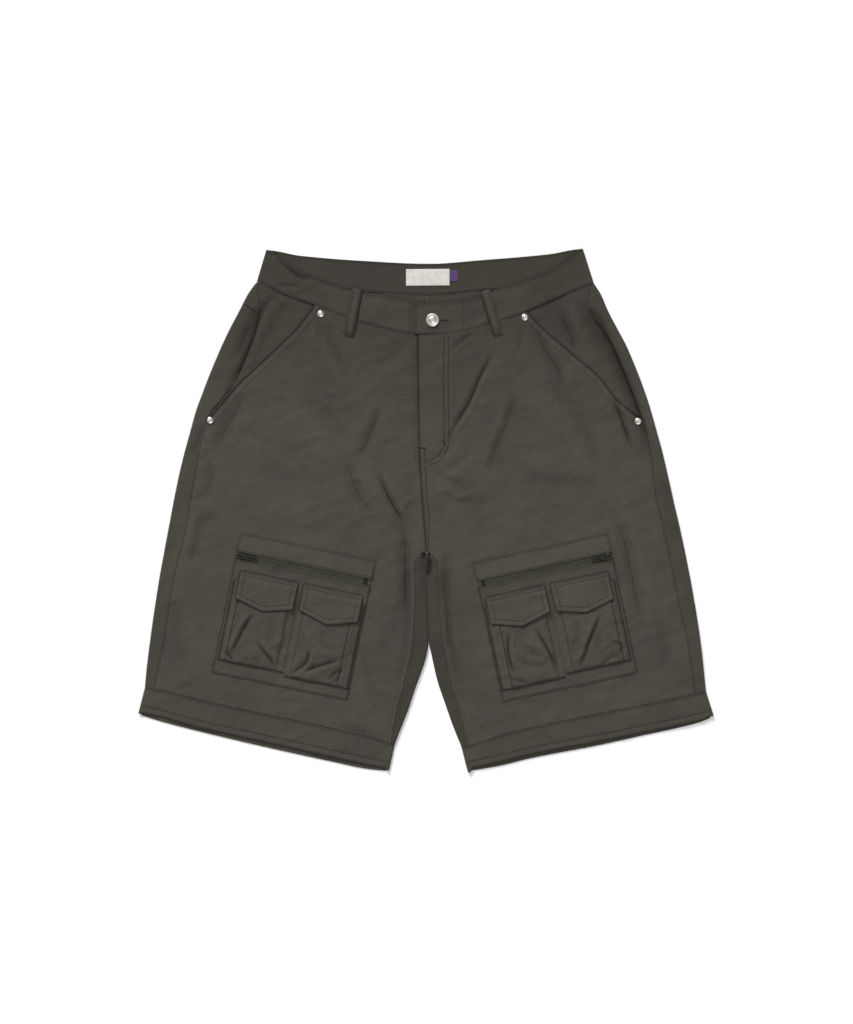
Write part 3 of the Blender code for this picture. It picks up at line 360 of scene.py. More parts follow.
def paintedShadeTone(shade, x, y):
    # painted shade only: no height, a darker tone
    away, onSide, along = nearLine(shade.line, x, y)
    strength = lessAtEnds(along, 0.25, 0.1)
    width = np.where(onSide * shade.lean < 0, 2.5, shade.width)
    return 0.0, -shade.depth * strength * bell(away / width)


def nearer(lines, away, dark):
    # keeps, point by point, the nearest of the thin lines drawn so far
    size = np.abs(away)
    closer = (size < np.abs(lines[0])) & (dark > 0)
    return np.where(closer, away, lines[0]), np.where(closer, dark * ease((3.2 - size) / 1.2), lines[1])


def softNoise(x, y, acrossSize, downSize, seed):
    # smooth seeded noise, from -1 to 1, with bumps of these two sizes
    table = np.random.default_rng(seed).uniform(-1, 1, (64, 64))
    u, v = x / acrossSize + 17.3, y / downSize + 23.7
    i, j = np.floor(u).astype(int), np.floor(v).astype(int)
    fu, fv = ease(u - i), ease(v - j)
    a, b = table[i % 64, j % 64], table[(i + 1) % 64, j % 64]
    c, d = table[i % 64, (j + 1) % 64], table[(i + 1) % 64, (j + 1) % 64]
    return (a * (1 - fu) + b * fu) * (1 - fv) + (c * (1 - fu) + d * fu) * fv


def wrinkles(x, y, seed=0):
    # the small unevenness of washed cloth that has been laid out by hand
    u, v = 0.94 * x + 0.34 * y, -0.34 * x + 0.94 * y
    total = 0.9 * softNoise(x, y, 55, 48, seed) + 0.65 * softNoise(u, v, 27, 15, seed + 1)
    for share, across, down, size, number in (
        (0.7, u, -v, (34, 17), 2), (0.6, -v, u, (19, 11), 4), (0.3, v, u, (13, 8), 5),
    ):    # these have sharp crests
        total += share * (0.4 - np.abs(softNoise(across, down, *size, seed + number)) * 1.5)
    return total + 0.28 * softNoise(x, y, 9, 6.5, seed + 3)


def cargoAxes(side):
    tilt = math.radians(cargoUnit[side][2])
    along = np.array([-sign[side] * math.cos(tilt), -math.sin(tilt)])
    down = np.array([sign[side] * math.sin(tilt), -math.cos(tilt)])
    return along, down


def cargoPoint(side, s, t):
    along, down = cargoAxes(side)
    x, y, _ = cargoUnit[side]
    return x + s * along[0] + t * down[0], y + s * along[1] + t * down[1]


def cargoPlace(side, x, y):
    # the place across and down a cargo unit
    along, down = cargoAxes(side)
    cornerX, cornerY, _ = cargoUnit[side]
    dx, dy = x - cornerX, y - cornerY
    return dx * along[0] + dy * along[1], dx * down[0] + dy * down[1]


def nodeName(piece):
    # the CAD node that a piece dresses: bagInnerLeft is bag_inner_left, and frontPanelLeft is front_left
    words = "".join("_" + letter.lower() if letter.isupper() else letter for letter in piece)
    return words.replace("_panel", "")


# The cloth keeps the height of the metal pieces that are fixed to it.
pins = [Pin(buttonSpot[0], buttonSpot[1], 9, 14, lift)]
for rivetName, spot in rivetSpots.items():
    pins.append(Pin(spot[0], spot[1], 6, 12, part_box(nodeName(rivetName))[0].z / mm - 0.5))
for side in sides:
    for place in (3, 16, 30, zipEnds["stop"]):    # along both zips' sliders, pull tabs and stops
        pins.append(Pin(*cargoPoint(side, place, zipLine), 9, 22, lift))


# Both heights are worked out once, on a fine net, and read from it for every piece.
netStep = 1.0
topShade = 0.31
netX = np.arange(-390, 391, netStep)
netY = np.arange(-356, 357, netStep)
gridX, gridY = np.meshgrid(netX, netY, indexing="ij")


def addFolds(total, paintedLight, folds, heightOf):
    for fold in folds:
        spots = np.array(fold.line)
        low, high = spots.min(0) - 5.5 * fold.width, spots.max(0) + 5.5 * fold.width
        i = slice(*np.searchsorted(netX, (low[0], high[0])))
        j = slice(*np.searchsorted(netY, (low[1], high[1])))
        height, tone = heightOf(fold, gridX[i, j], gridY[i, j])
        total[i, j] += height
        paintedLight[i, j] += tone


def frontNet():
    total, paintedLight = np.zeros(gridX.shape), np.zeros(gridX.shape)
    lines = noLines(gridX.shape)
    for crease in frontCreases:
        if crease.depth > crispDepth:
            lines = nearer(lines, *creaseLine(crease, gridX, gridY))
    addFolds(total, paintedLight, frontCreases, creaseHeight)
    addFolds(total, paintedLight, frontRidges, ridgeHeight)
    addFolds(total, paintedLight, frontPaintedShades, paintedShadeTone)
    paintedLight -= topShade * np.clip((gridY - 100) / 145, 0, 1)    # painted shade, darker towards the waist
    for side in sides:    # the doubled cloth of a cargo unit lies flatter
        s, t = cargoPlace(side, gridX, gridY)
        outside = np.hypot(np.maximum(0, np.maximum(-s, s - cargoWidth)),
                           np.maximum(0, np.maximum(-t, t - cargoHeight)))
        total *= 0.25 + 0.75 * ease(outside / 18)
        lines[1][:] *= ease(outside / 6)
    total = lift + np.clip(foldGain * total + wrinkles(gridX, gridY), -3.3, 4.4)
    for pin in pins:
        near = 1 - ease((np.hypot(gridX - pin.x, gridY - pin.y) - pin.radius) / pin.fade)
        total = total * (1 - near) + pin.height * near
    return total, paintedLight, lines


def backNet():
    total = np.zeros(gridX.shape)
    addFolds(total, np.zeros(gridX.shape), backRidges, ridgeHeight)
    return np.clip(total + 0.55 * np.maximum(wrinkles(gridX, gridY, 40), 0), 0, 2.2)


def readNet(net, x, y):
    u = np.clip((np.asarray(x, float) - netX[0]) / netStep, 0, len(netX) - 1.001)
    v = np.clip((np.asarray(y, float) - netY[0]) / netStep, 0, len(netY) - 1.001)
    i, j = u.astype(int), v.astype(int)
    fu, fv = u - i, v - j
    low = net[i, j] * (1 - fu) + net[i + 1, j] * fu
    high = net[i, j + 1] * (1 - fu) + net[i + 1, j + 1] * fu
    return low * (1 - fv) + high * fv


# the front's tones and thin lines are painted light: shade and highlight in its folds, and crisp lines of
# painted shade in its deep creases
frontHeights, frontPaintedLight, frontLines = frontNet()
backHeights = np.minimum(backNet(), frontHeights - 1.9)


def frontHeight(x, y):
    return readNet(frontHeights, x, y)    # of the front's outer face


def frontPaintedLightAt(x, y):
    return readNet(frontPaintedLight, x, y)    # its painted light: shade in its folds and towards the waist, and paler swells beside its creases


def backHeight(x, y):
    return readNet(backHeights, x, y)    # of the back's outer face, off the floor


print("folds laid out")


def linear(hexText):
    # an sRGB hex colour as the linear colour that a shader takes
    parts = [int(hexText[i : i + 2], 16) / 255 for i in (1, 3, 5)]
    return (*[c / 12.92 if c <= 0.04045 else ((c + 0.055) / 1.055) ** 2.4 for c in parts], 1.0)


def addNode(tree, kind, settings=None, links=None):
    # one shader node, with its settings and its inputs' values by name, and its links as input: (node, output)
    node = tree.nodes.new("ShaderNode" + kind)
    for name, value in (settings or {}).items():
        if isinstance(name, str) and hasattr(node, name):
            setattr(node, name, value)
        else:
            node.inputs[name].default_value = value
    for name, (source, output) in (links or {}).items():
        tree.links.new(source.outputs[output], node.inputs[name])
    return node


def newMaterial(name):
    # an empty material, its nodes, and the place on the piece in mm
    material = bpy.data.materials.new(name)
    material.use_nodes = True
    tree = material.node_tree
    tree.nodes.clear()
    place = addNode(tree, "TexCoord")
    inMm = addNode(tree, "Mapping", {"Scale": (1 / mm,) * 3}, {"Vector": (place, "Object")})
    return material, tree, inMm


def finishMaterial(material, tree, shader):
    addNode(tree, "OutputMaterial", links={"Surface": (shader, "BSDF")})
    return material


def setRamp(ramp, stops):
    elements = ramp.color_ramp.elements
    while len(elements) < len(stops):
        elements.new(0.5)
    for element, (place, colour) in zip(elements, stops):
        element.position = place
        element.color = linear(colour)


def noise(tree, place, size, detail, roughness=0.5, distortion=0.0):
    # soft patches of about this size in mm
    return addNode(tree, "TexNoise", {"Scale": 1 / size, "Detail": detail, "Roughness": roughness,
                                      "Distortion": distortion}, {"Vector": (place, "Vector")})


def mapped(low, high, newLow, newHigh):
    return {"From Min": low, "From Max": high, "To Min": newLow, "To Max": newHigh}


# Cotton and nylon canvas, piece-dyed and washed: matt, with a faint sheen, slightly uneven in colour, paler
# where it is rubbed on seams and with a painted highlight beside creases, and darkened to a painted shade in
# grooves and folds. The real threads lie 0.45 mm apart; they are drawn 0.9 mm apart so that they show.
canvas = {
    "deep": "#3D3A34",
    "middle": "#403D35",
    "pale": "#454038",
    "greener": "#403E34",
    # paler colour for rubbed wear on seams, and for painted highlight beside creases
    "rubbed": "#5C584D",
    # painted shade colour, for grooves, folds, recesses and thin shade lines
    "shade": "#1C1811",
    "thread": 0.9,
    "roughness": 0.78,
    "sheen": 0.08,
}


def weaveBump(tree, uv, spacing, strength, distance, normal=None):
    # warp and weft as crossed waves, each thread over and under its neighbours
    scaled = addNode(tree, "Mapping", {"Scale": (1 / (spacing * mm),) * 3}, {"Vector": (uv, "UV")})
    parts = addNode(tree, "SeparateXYZ", links={"Vector": (scaled, "Vector")})
    waves = []
    for axis in ("X", "Y"):
        turned = addNode(tree, "Math", {"operation": "MULTIPLY", 1: math.pi}, {0: (parts, axis)})
        waves.append(addNode(tree, "Math", {"operation": "SINE"}, {0: (turned, "Value")}))
    crossed = addNode(tree, "Math", {"operation": "MULTIPLY"}, {0: (waves[0], "Value"), 1: (waves[1], "Value")})
    links = {"Height": (crossed, "Value")}
    if normal:
        links["Normal"] = normal
    return addNode(tree, "Bump", {"Strength": strength, "Distance": distance * mm}, links)


def canvasMaterial(name, look, crinkle=1.0):
    material, tree, inMm = newMaterial(name)
    uv = addNode(tree, "UVMap", {"uv_map": "cloth"})
    clouds = noise(tree, inMm, 70, 3.0, 0.55)
    mottle = addNode(tree, "ValToRGB", links={"Fac": (clouds, "Fac")})
    setRamp(mottle, [(0.3, look["deep"]), (0.5, look["middle"]), (0.72, look["pale"])])
    patches = noise(tree, inMm, 38, 2.0)
    greenShare = addNode(tree, "MapRange", mapped(0.5, 0.68, 0.0, 0.5), {"Value": (patches, "Fac")})
    greened = addNode(tree, "Mix", {"data_type": "RGBA", 7: linear(look["greener"])},
                      {0: (greenShare, "Result"), 6: (mottle, "Color")})
    slubs = noise(tree, inMm, 2.4, 3.0, 0.7)
    slubShare = addNode(tree, "MapRange", mapped(0.35, 0.65, 0.91, 1.09), {"Value": (slubs, "Fac")})
    flecked = addNode(tree, "Mix", {"data_type": "RGBA", "blend_type": "MULTIPLY", 0: 1.0},
                      {6: (greened, 2), 7: (slubShare, "Result")})
    # an attribute carries painted light and wear: below 0 the cloth is painted darker as shade, in grooves,
    # folds and recesses, above 0 it is paler, as rubbed wear on seams and painted highlight beside creases
    tone = addNode(tree, "Attribute", {"attribute_name": "tone"})
    groove = addNode(tree, "MapRange", mapped(0.0, -1.0, 0.0, 1.0), {"Value": (tone, "Fac")})
    # two more attributes draw thin lines of painted shade, in crease cores, stitch grooves and beside raised
    # edges: how far off the nearest is, in its half widths, and how dark it is
    lineAway = addNode(tree, "Attribute", {"attribute_name": "lineAway"})
    lineDark = addNode(tree, "Attribute", {"attribute_name": "lineDark"})
    lineSize = addNode(tree, "Math", {"operation": "ABSOLUTE"}, {0: (lineAway, "Fac")})
    lineCore = addNode(tree, "MapRange", {"interpolation_type": "SMOOTHSTEP", **mapped(0.0, 1.2, 1.0, 0.0)},
                       {"Value": (lineSize, "Value")})
    line = addNode(tree, "Math", {"operation": "MULTIPLY"}, {0: (lineCore, "Result"), 1: (lineDark, "Fac")})
    dark = addNode(tree, "Math", {"operation": "ADD", "use_clamp": True},
                   {0: (groove, "Result"), 1: (line, "Value")})
    shadedColour = addNode(tree, "Mix", {"data_type": "RGBA", 7: linear(look["shade"])},
                      {0: (dark, "Value"), 6: (flecked, 2)})
    wornAndLitShare = addNode(tree, "MapRange", mapped(0.0, 1.0, 0.0, 0.6), {"Value": (tone, "Fac")})
    rubbed = addNode(tree, "Mix", {"data_type": "RGBA", 7: linear(look["rubbed"])},
                     {0: (wornAndLitShare, "Result"), 6: (shadedColour, 2)})
    # washed-in crinkles 5 to 10 mm across, then the thin lines' grooves, then the weave
    stretched = addNode(tree, "Mapping", {"Scale": (1 / 10, 1 / 8, 1 / 9)}, {"Vector": (inMm, "Vector")})
    crinkles = noise(tree, stretched, 1.0, 4.0, 0.6, 0.5)
    crinkled = addNode(tree, "Bump", {"Strength": 0.62 * crinkle, "Distance": 1.0 * mm},
                       {"Height": (crinkles, "Fac")})
    lined = addNode(tree, "Bump", {"Strength": 0.6, "Distance": 0.5 * mm, "invert": True},
                    {"Height": (line, "Value"), "Normal": (crinkled, "Normal")})
    woven = weaveBump(tree, uv, look["thread"], 0.3, 0.18, (lined, "Normal"))
    shader = addNode(tree, "BsdfPrincipled", {"Roughness": look["roughness"], "Sheen Weight": look["sheen"],
                                              "Sheen Roughness": 0.45, "Specular IOR Level": 0.22},
                     {"Base Color": (rubbed, 2), "Normal": (woven, "Normal")})
    return finishMaterial(material, tree, shader)


def mottled(name, darker, colour, size, detail, roughness=0.5, high=0.6):
    # a material that shifts between two shades in patches of this size in mm
    material, tree, inMm = newMaterial(name)
    patches = noise(tree, inMm, size, detail, roughness)
    shades = addNode(tree, "ValToRGB", links={"Fac": (patches, "Fac")})
    setRamp(shades, [(0.35, darker), (high, colour)])
    return material, tree, patches, shades


# Polyester ribbon: closer and smoother than the canvas, with a little more shine.
def ribbonMaterial(name, colour, darker, spacing, roughness, sheen):
    material, tree, _, shades = mottled(name, darker, colour, 6, 3.0)
    woven = weaveBump(tree, addNode(tree, "UVMap", {"uv_map": "cloth"}), spacing, 0.4, 0.15)
    shader = addNode(tree, "BsdfPrincipled",
                     {"Roughness": roughness, "Sheen Weight": sheen, "Specular IOR Level": 0.25},
                     {"Base Color": (shades, "Color"), "Normal": (woven, "Normal")})
    return finishMaterial(material, tree, shader)


# Spun polyester thread: two twisted strands, shinier than the cloth that it is sewn through.
def threadMaterial(name, colour, darker):
    material, tree, twist, shades = mottled(name, darker, colour, 0.5, 2.0, high=0.65)
    bumped = addNode(tree, "Bump", {"Strength": 0.4, "Distance": 0.1 * mm}, {"Height": (twist, "Fac")})
    shader = addNode(tree, "BsdfPrincipled", {"Roughness": 0.6, "Specular IOR Level": 0.2},
                     {"Base Color": (shades, "Color"), "Normal": (bumped, "Normal")})
    return finishMaterial(material, tree, shader)


# Nickel-plated brass, barrel-polished: bright, with fine scuffs that soften the reflections here and there.
def nickelMaterial(name, colour, darker, roughness):
    material, tree, scuffs, shades = mottled(name, darker, colour, 0.9, 5.0, 0.7)
    rough = addNode(tree, "MapRange", mapped(0.3, 0.7, roughness * 0.7, roughness * 1.5),
                    {"Value": (scuffs, "Fac")})
    bumped = addNode(tree, "Bump", {"Strength": 0.12, "Distance": 0.05 * mm}, {"Height": (scuffs, "Fac")})
    shader = addNode(tree, "BsdfPrincipled", {"Metallic": 1.0}, {
        "Base Color": (shades, "Color"), "Roughness": (rough, "Result"), "Normal": (bumped, "Normal"),
    })
    return finishMaterial(material, tree, shader)


clothFinish = canvasMaterial("washed canvas", canvas)
cargoFinish = canvasMaterial("washed canvas, pocket pieces", canvas, crinkle=1.6)
tapeFinish = ribbonMaterial("woven zip tape", "#3C3D2D", "#323327", 0.8, 0.7, 0.04)
labelFinish = ribbonMaterial("woven satin label", "#CBC8C2", "#C0BCB5", 0.5, 0.5, 0.3)
tabFinish = ribbonMaterial("woven satin size tab", "#4F3266", "#44295A", 0.5, 0.5, 0.3)
threadFinish = threadMaterial("spun polyester thread", "#37352C", "#26251E")
coilFinish = threadMaterial("nylon zip coil", "#3B3D30", "#323427")
nickelFinish = nickelMaterial("polished nickel plate", "#D6D4CE", "#B4B2AC", 0.3)
zipMetalFinish = nickelMaterial("dark polished nickel plate", "#363531", "#242320", 0.11)
print("materials ready")


def setActive(piece):
    bpy.ops.object.select_all(action="DESELECT")
    piece.select_set(True)
    bpy.context.view_layer.objects.active = piece


def addObject(name, data):
    made = bpy.data.objects.new(name, data)
    bpy.context.scene.collection.objects.link(made)
    return made


def spread(length, coarse, fine=None, reach=0.0, ends=(True, True)):
    # places from 0 to 1 along a length in mm, closer together near its ends
    fine = fine or coarse
    start = np.arange(0, reach, fine) if ends[0] and reach else np.array([0.0])
    end = length - (np.arange(0, reach, fine)[::-1] if ends[1] and reach else np.array([0.0]))
    steps = max(int(math.ceil((end[0] - start[-1]) / coarse)), 1)
    middle = np.linspace(start[-1], end[0], steps + 1)[1:-1]
    return np.concatenate([start, middle, end]) / length


def shares(edge, opposite):
    steps = np.linalg.norm(np.diff(edge, axis=0), axis=1)
    steps = steps + np.linalg.norm(np.diff(opposite, axis=0), axis=1)
    return np.concatenate([[0], np.cumsum(steps)]) / steps.sum()


def blendEdges(top, bottom, first, last):
    # fills four edges, each a row of points, with a grid of points
    u = shares(top, bottom)[None, :, None]
    v = shares(first, last)[:, None, None]
    across = (1 - v) * top[None] + v * bottom[None]
    down = (1 - u) * first[:, None] + u * last[:, None]
    corners = (1 - v) * ((1 - u) * top[0] + u * top[-1]) + v * ((1 - u) * bottom[0] + u * bottom[-1])
    return across + down - corners


class Relief:
    # what the seams do to a sheet's height, how worn it is there, and the painted shade and highlight that it
    # carries
    def __init__(self, x, y, onFront=False):
        self.x, self.y = x, y
        self.height = np.zeros(x.shape)
        self.tone = frontPaintedLightAt(x, y) if onFront else np.zeros(x.shape)
        self.lines = [readNet(net, x, y) for net in frontLines] if onFront else noLines(x.shape)

    def seam(self, line, stitches, pucker, valley, seed, shade=0.4, strength=1.0):
        away, _, along = nearLine(line, self.x, self.y)
        length = np.linalg.norm(np.diff(np.asarray(line, float), axis=0), axis=1).sum()
        self.height -= strength * valley * bell(away / 1.1)
        # painted shade in the seam's groove; a negative shade paints a highlight on a seam that stands up
        self.tone -= strength * shade * bell(away / 1.0)
        if stitches:    # the seam's layers lie under its topstitching
            strip = 1 - ease((away - stitches[-1] - 0.4) / 2.0)
            self.height += 0.3 * strip
            self.tone += 0.1 * ease((away - 1) / 1.5) * strip
            for place in stitches:
                self.height -= 0.25 * bell((away - place) / 0.9)
                # painted shade along each row of stitching, as a thin line or in the tone
                if place > 4:
                    self.lines = nearer(self.lines, (away - place) / 0.8, np.full(away.shape, 0.5))
                else:
                    self.tone -= 0.2 * bell((away - place) / 0.9)
        puckers = softNoise(along * length, away, 6.5, 18, seed + 70)
        puckers = puckers + 0.6 * softNoise(along * length, away, 13, 26, seed + 71)
        self.height += pucker * puckers * bell(away / (6 + (stitches[-1] if stitches else 0)))

    def shadeLine(self, line, depth=0.3, dark=0.55):
        # a slight groove, and a thin line of painted shade along it, in a stitch's groove or beside a raised
        # edge
        away, onSide, along = nearLine(line, self.x, self.y)
        self.height -= depth * bell(away / 1.2)
        strength = ease(np.minimum(along, 1 - along) * 60)
        self.lines = nearer(self.lines, sideways(away, onSide) / 0.8, dark * strength)

    def pressInto(self, points, tone, below, clearLines=True):
        # gives a wrapped sheet's upper side its relief, and its underside one tone
        onTop = points[..., 2] > upperSide
        points[..., 2] += np.where(onTop, self.height, 0)
        self.tone = np.where(onTop, tone, below)
        if clearLines:
            self.lines = self.lines[0], np.where(onTop, self.lines[1], 0)


def addSheet(name, points, wall, finish, restsOn, relief=None, keep=None, faces="up"):
    # a wall of cloth from a grid of points in mm on its outer face
    rows, columns = points.shape[:2]
    ring = faces == "ring"
    index = np.arange(rows * columns).reshape(rows, columns)
    if ring:
        index[:, -1] = index[:, 0]
    a, b, c, d = index[:-1, :-1], index[:-1, 1:], index[1:, 1:], index[1:, :-1]
    quads = np.stack([a, b, c, d], axis=-1)
    if keep is not None:
        quads = quads[keep[:-1, :-1] & keep[:-1, 1:] & keep[1:, 1:] & keep[1:, :-1]]
    quads = quads.reshape(-1, 4)
    used, quads = np.unique(quads, return_inverse=True)
    quads = quads.reshape(-1, 4)
    flatPoints = points.reshape(-1, 3)[used]
    middle = lift / 2 if ring else (-1e3 if faces == "up" else 1e3)
    corner = flatPoints[quads]
    normalArea = np.cross(corner[:, 2] - corner[:, 0], corner[:, 3] - corner[:, 1]) / 2
    outward = (normalArea[:, 2] * np.where(corner[:, :, 2].mean(1) > middle, 1, -1)).sum()
    if outward < 0:
        quads = quads[:, ::-1]
    mesh = bpy.data.meshes.new(name)
    mesh.from_pydata((flatPoints * mm).tolist(), [], quads.tolist())
    places = flatPoints[quads.reshape(-1), :2] * mm
    mesh.uv_layers.new(name="cloth").data.foreach_set("uv", places.reshape(-1))
    relief = relief or Relief(points[..., 0], points[..., 1])
    away, dark = relief.lines
    for attribute, values in (("tone", relief.tone), ("lineAway", away), ("lineDark", dark)):
        stored = mesh.attributes.new(attribute, "FLOAT", "POINT")
        stored.data.foreach_set("value", np.clip(values.reshape(-1)[used], -9, 9).astype(np.float32))
    mesh.materials.append(finish)
    mesh.shade_smooth()
    piece = addObject(name, mesh)
    thicken = piece.modifiers.new("wall", "SOLIDIFY")
    thicken.thickness = wall * mm
    thicken.offset = -1
    setActive(piece)
    bpy.ops.object.modifier_apply(modifier="wall")
    bpy.ops.object.shade_smooth_by_angle(angle=math.radians(52))    # so the cut edges keep their own shading
    topFaces.append((name, flatPoints, quads))
    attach(piece, "garment")
    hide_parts(nodeName(name))


def outlinePoint(side, y):
    return np.stack([column(outerEdge[side], "y", "outline", y), np.asarray(y, float)], axis=-1)


def seamPoint(side, y, shift=0.0):
    # on the side seam, where it shows on top; a positive shift goes towards the centre
    edge = outlinePoint(side, y)
    edge[..., 0] -= sign[side] * (column(outerEdge[side], "y", "wrap", edge[..., 1]) + shift)
    return edge


def inseamPoint(side, y, shift=0.0):
    x = column(innerEdge[side], "y", "inseam", y) + sign[side] * shift
    return np.stack([x, np.asarray(y, float)], axis=-1)


def mouthPoint(side, y, shift=0.0):
    places, values = [p[1] for p in mouth[side]], [p[0] for p in mouth[side]]
    return np.stack([curveThrough(places, values, y) - sign[side] * shift, np.asarray(y, float)], axis=-1)


def centreX(y):
    return curveThrough([p[1] for p in centreFront], [p[0] for p in centreFront], y)


def foldTurn(edge, inward, height, steps=10):
    # half a turn round a folded edge, from its top to its underside
    angle = np.linspace(0, math.pi, steps + 1)
    reach = height / 2 * (1 - np.sin(angle))
    flat = np.asarray(edge)[None] + np.asarray(inward)[None] * reach[:, None]
    return np.column_stack([flat, height / 2 * (1 + np.cos(angle))])


topFaces = []    # each sheet's outer faces, for placing the stitches
seamLines = {}    # the seams' lines by name, for the relief and the stitches
for side in sides:
    outerRows, innerRows = outerEdge[side], innerEdge[side]
    seamLines["side" + side] = seamPoint(side, np.linspace(outerRows[0].y, outerRows[-1].y, 16))
    seamLines["inseam" + side] = inseamPoint(side, np.linspace(innerRows[0].y, innerRows[-1].y, 12))
    seamLines["mouth" + side] = mouthPoint(side, np.linspace(mouth[side][0][1], mouthEnd, 12))
    seamLines["hem" + side] = edgeLine(hemLine[side], "seam")
    seamLines["waist" + side] = edgeLine(frontWaist[side], "seam")
centreY = np.linspace(centreFront[0][1], centreFront[-1][1], 12)
seamLines["centre"] = np.stack([centreX(centreY), centreY], axis=1)
outerY = np.linspace(flyBottom - 2, centreFront[-1][1] + 1, 8)
seamLines["centreOuter"] = np.stack([centreX(outerY) + 7.0 - 3.4 * ease((outerY + 10) / -35), outerY], axis=1)
seamLines["flyInner"] = np.array([(23.4, 229), (23, 185), (23.2, 140), (23.6, 100), (23.4, 88), (20.8, 78.5),
                                  (15.5, 71.5), (8, 66.5), (-1, 63.6)])
seamLines["flyOuter"] = np.array([(29.4, 229), (29.1, 185), (29.3, 140), (29.6, 100), (28.9, 86), (25.8, 75.5),
                                  (20.2, 67.6), (13, 62.4), (4, 59.8)])


# front panels: from the pocket mouth and side seam to the fly, centre seam and inseam
frontPanel = {"width": 230, "step": 2.05, "fineStep": 1.2, "fineReach": 12, "underlap": 10, "dip": 1.7,
              "wall": 0.8, "cut": (0.335, 0.545, 0.148)}


def addFrontPanel(side):
    look = frontPanel
    centreTop, centreEnd = centreFront[0][1], centreFront[-1][1]
    innerEnd = innerEdge[side][-1].y
    outerTop, outerEnd = mouth[side][0][1], outerEdge[side][-1].y
    upper = spread(centreTop - centreEnd, look["step"], look["fineStep"], 9, (True, False))
    lower = spread(crotch - innerEnd, look["step"], look["fineStep"], 9, (False, True))
    upperY = centreTop - (centreTop - centreEnd) * upper
    lowerY = crotch - (crotch - innerEnd) * lower
    shift = np.full(len(upperY), sign[side] * gap / 2)
    if side == "Right":
        shift = np.where(upperY > flyBottom, look["underlap"], shift)
    last = np.vstack([np.stack([centreX(upperY) + shift, upperY], axis=1), inseamPoint(side, lowerY, gap / 2)])
    outerY = outerTop - (centreTop - last[:, 1]) * (outerTop - outerEnd) / (centreTop - innerEnd)
    # near the rivet the mouth's end runs softly into the side seam
    join = ease((mouthEnd + 6 - outerY) / 12)[:, None]
    first = mouthPoint(side, outerY) * (1 - join) + seamPoint(side, outerY, gap / 2) * join
    places = spread(look["width"], look["step"] * 0.8, look["fineStep"] * 0.8, look["fineReach"])
    topX, bottomX = (first[row, 0] + (last[row, 0] - first[row, 0]) * places for row in (0, -1))
    top = edgeLine(frontWaist[side], "seam", topX, -gap)
    bottom = edgeLine(hemLine[side], "seam", bottomX, gap)
    first[0], last[0], first[-1], last[-1] = top[0], top[-1], bottom[0], bottom[-1]
    flat = blendEdges(top, bottom, first, last)
    x, y = flat[..., 0], flat[..., 1]
    relief = Relief(x, y, onFront=True)
    lowLeg = 1 - 0.6 * ease((y - 80) / 20)
    relief.seam(seamLines["mouth" + side], (1.8, 8.2), 0.35, 0.4, 1, 0.75)
    relief.seam(seamLines["side" + side], (), 0.4, 0.6, 2, 0.2, lowLeg)
    relief.seam(seamLines["inseam" + side], (), 0.45, -0.6, 3, -0.3)    # this one stands up a little, with a painted highlight along it
    relief.shadeLine(inseamPoint(side, np.linspace(crotch - 2, innerEdge[side][-1].y, 12), 3.4), 0.2, 0.3)
    relief.seam(seamLines["waist" + side], (), 0.4, 0.2, 4, 0.12)
    relief.seam(seamLines["hem" + side], (), 0.5, 0.3, 5, 0.15)
    if side == "Left":
        relief.seam(seamLines["centre"], (1.6,), 0.35, 0.3, 6, 0.8)
        for name in ("centreOuter", "flyInner", "flyOuter"):
            relief.shadeLine(seamLines[name])
    else:
        relief.seam(seamLines["centre"], (), 0.35, 0.8, 7, 0.8)
    height = frontHeight(x, y) + relief.height
    if side == "Right":
        under = ease((x - centreX(np.maximum(y, centreEnd)) + 9) / 8)
        height = height - look["dip"] * under * ease((y - 45) / 20)
    addSheet("frontPanel" + side, np.dstack([x, y, height]), look["wall"], clothFinish,
             [nodeName("back" + side)], relief)


# back panels: from the side seam round the leg's outer edge, along the floor and up to the inseam
backPanel = {"floorWidth": 330, "rowStep": 3.6, "floorStep": 5.5, "wrapSteps": 9, "innerSteps": 8,
             "wall": 0.8, "wrapShade": 0.15, "innerShade": 0.25, "inShade": 0.3, "cut": (0.41, 0.60, 0.19)}


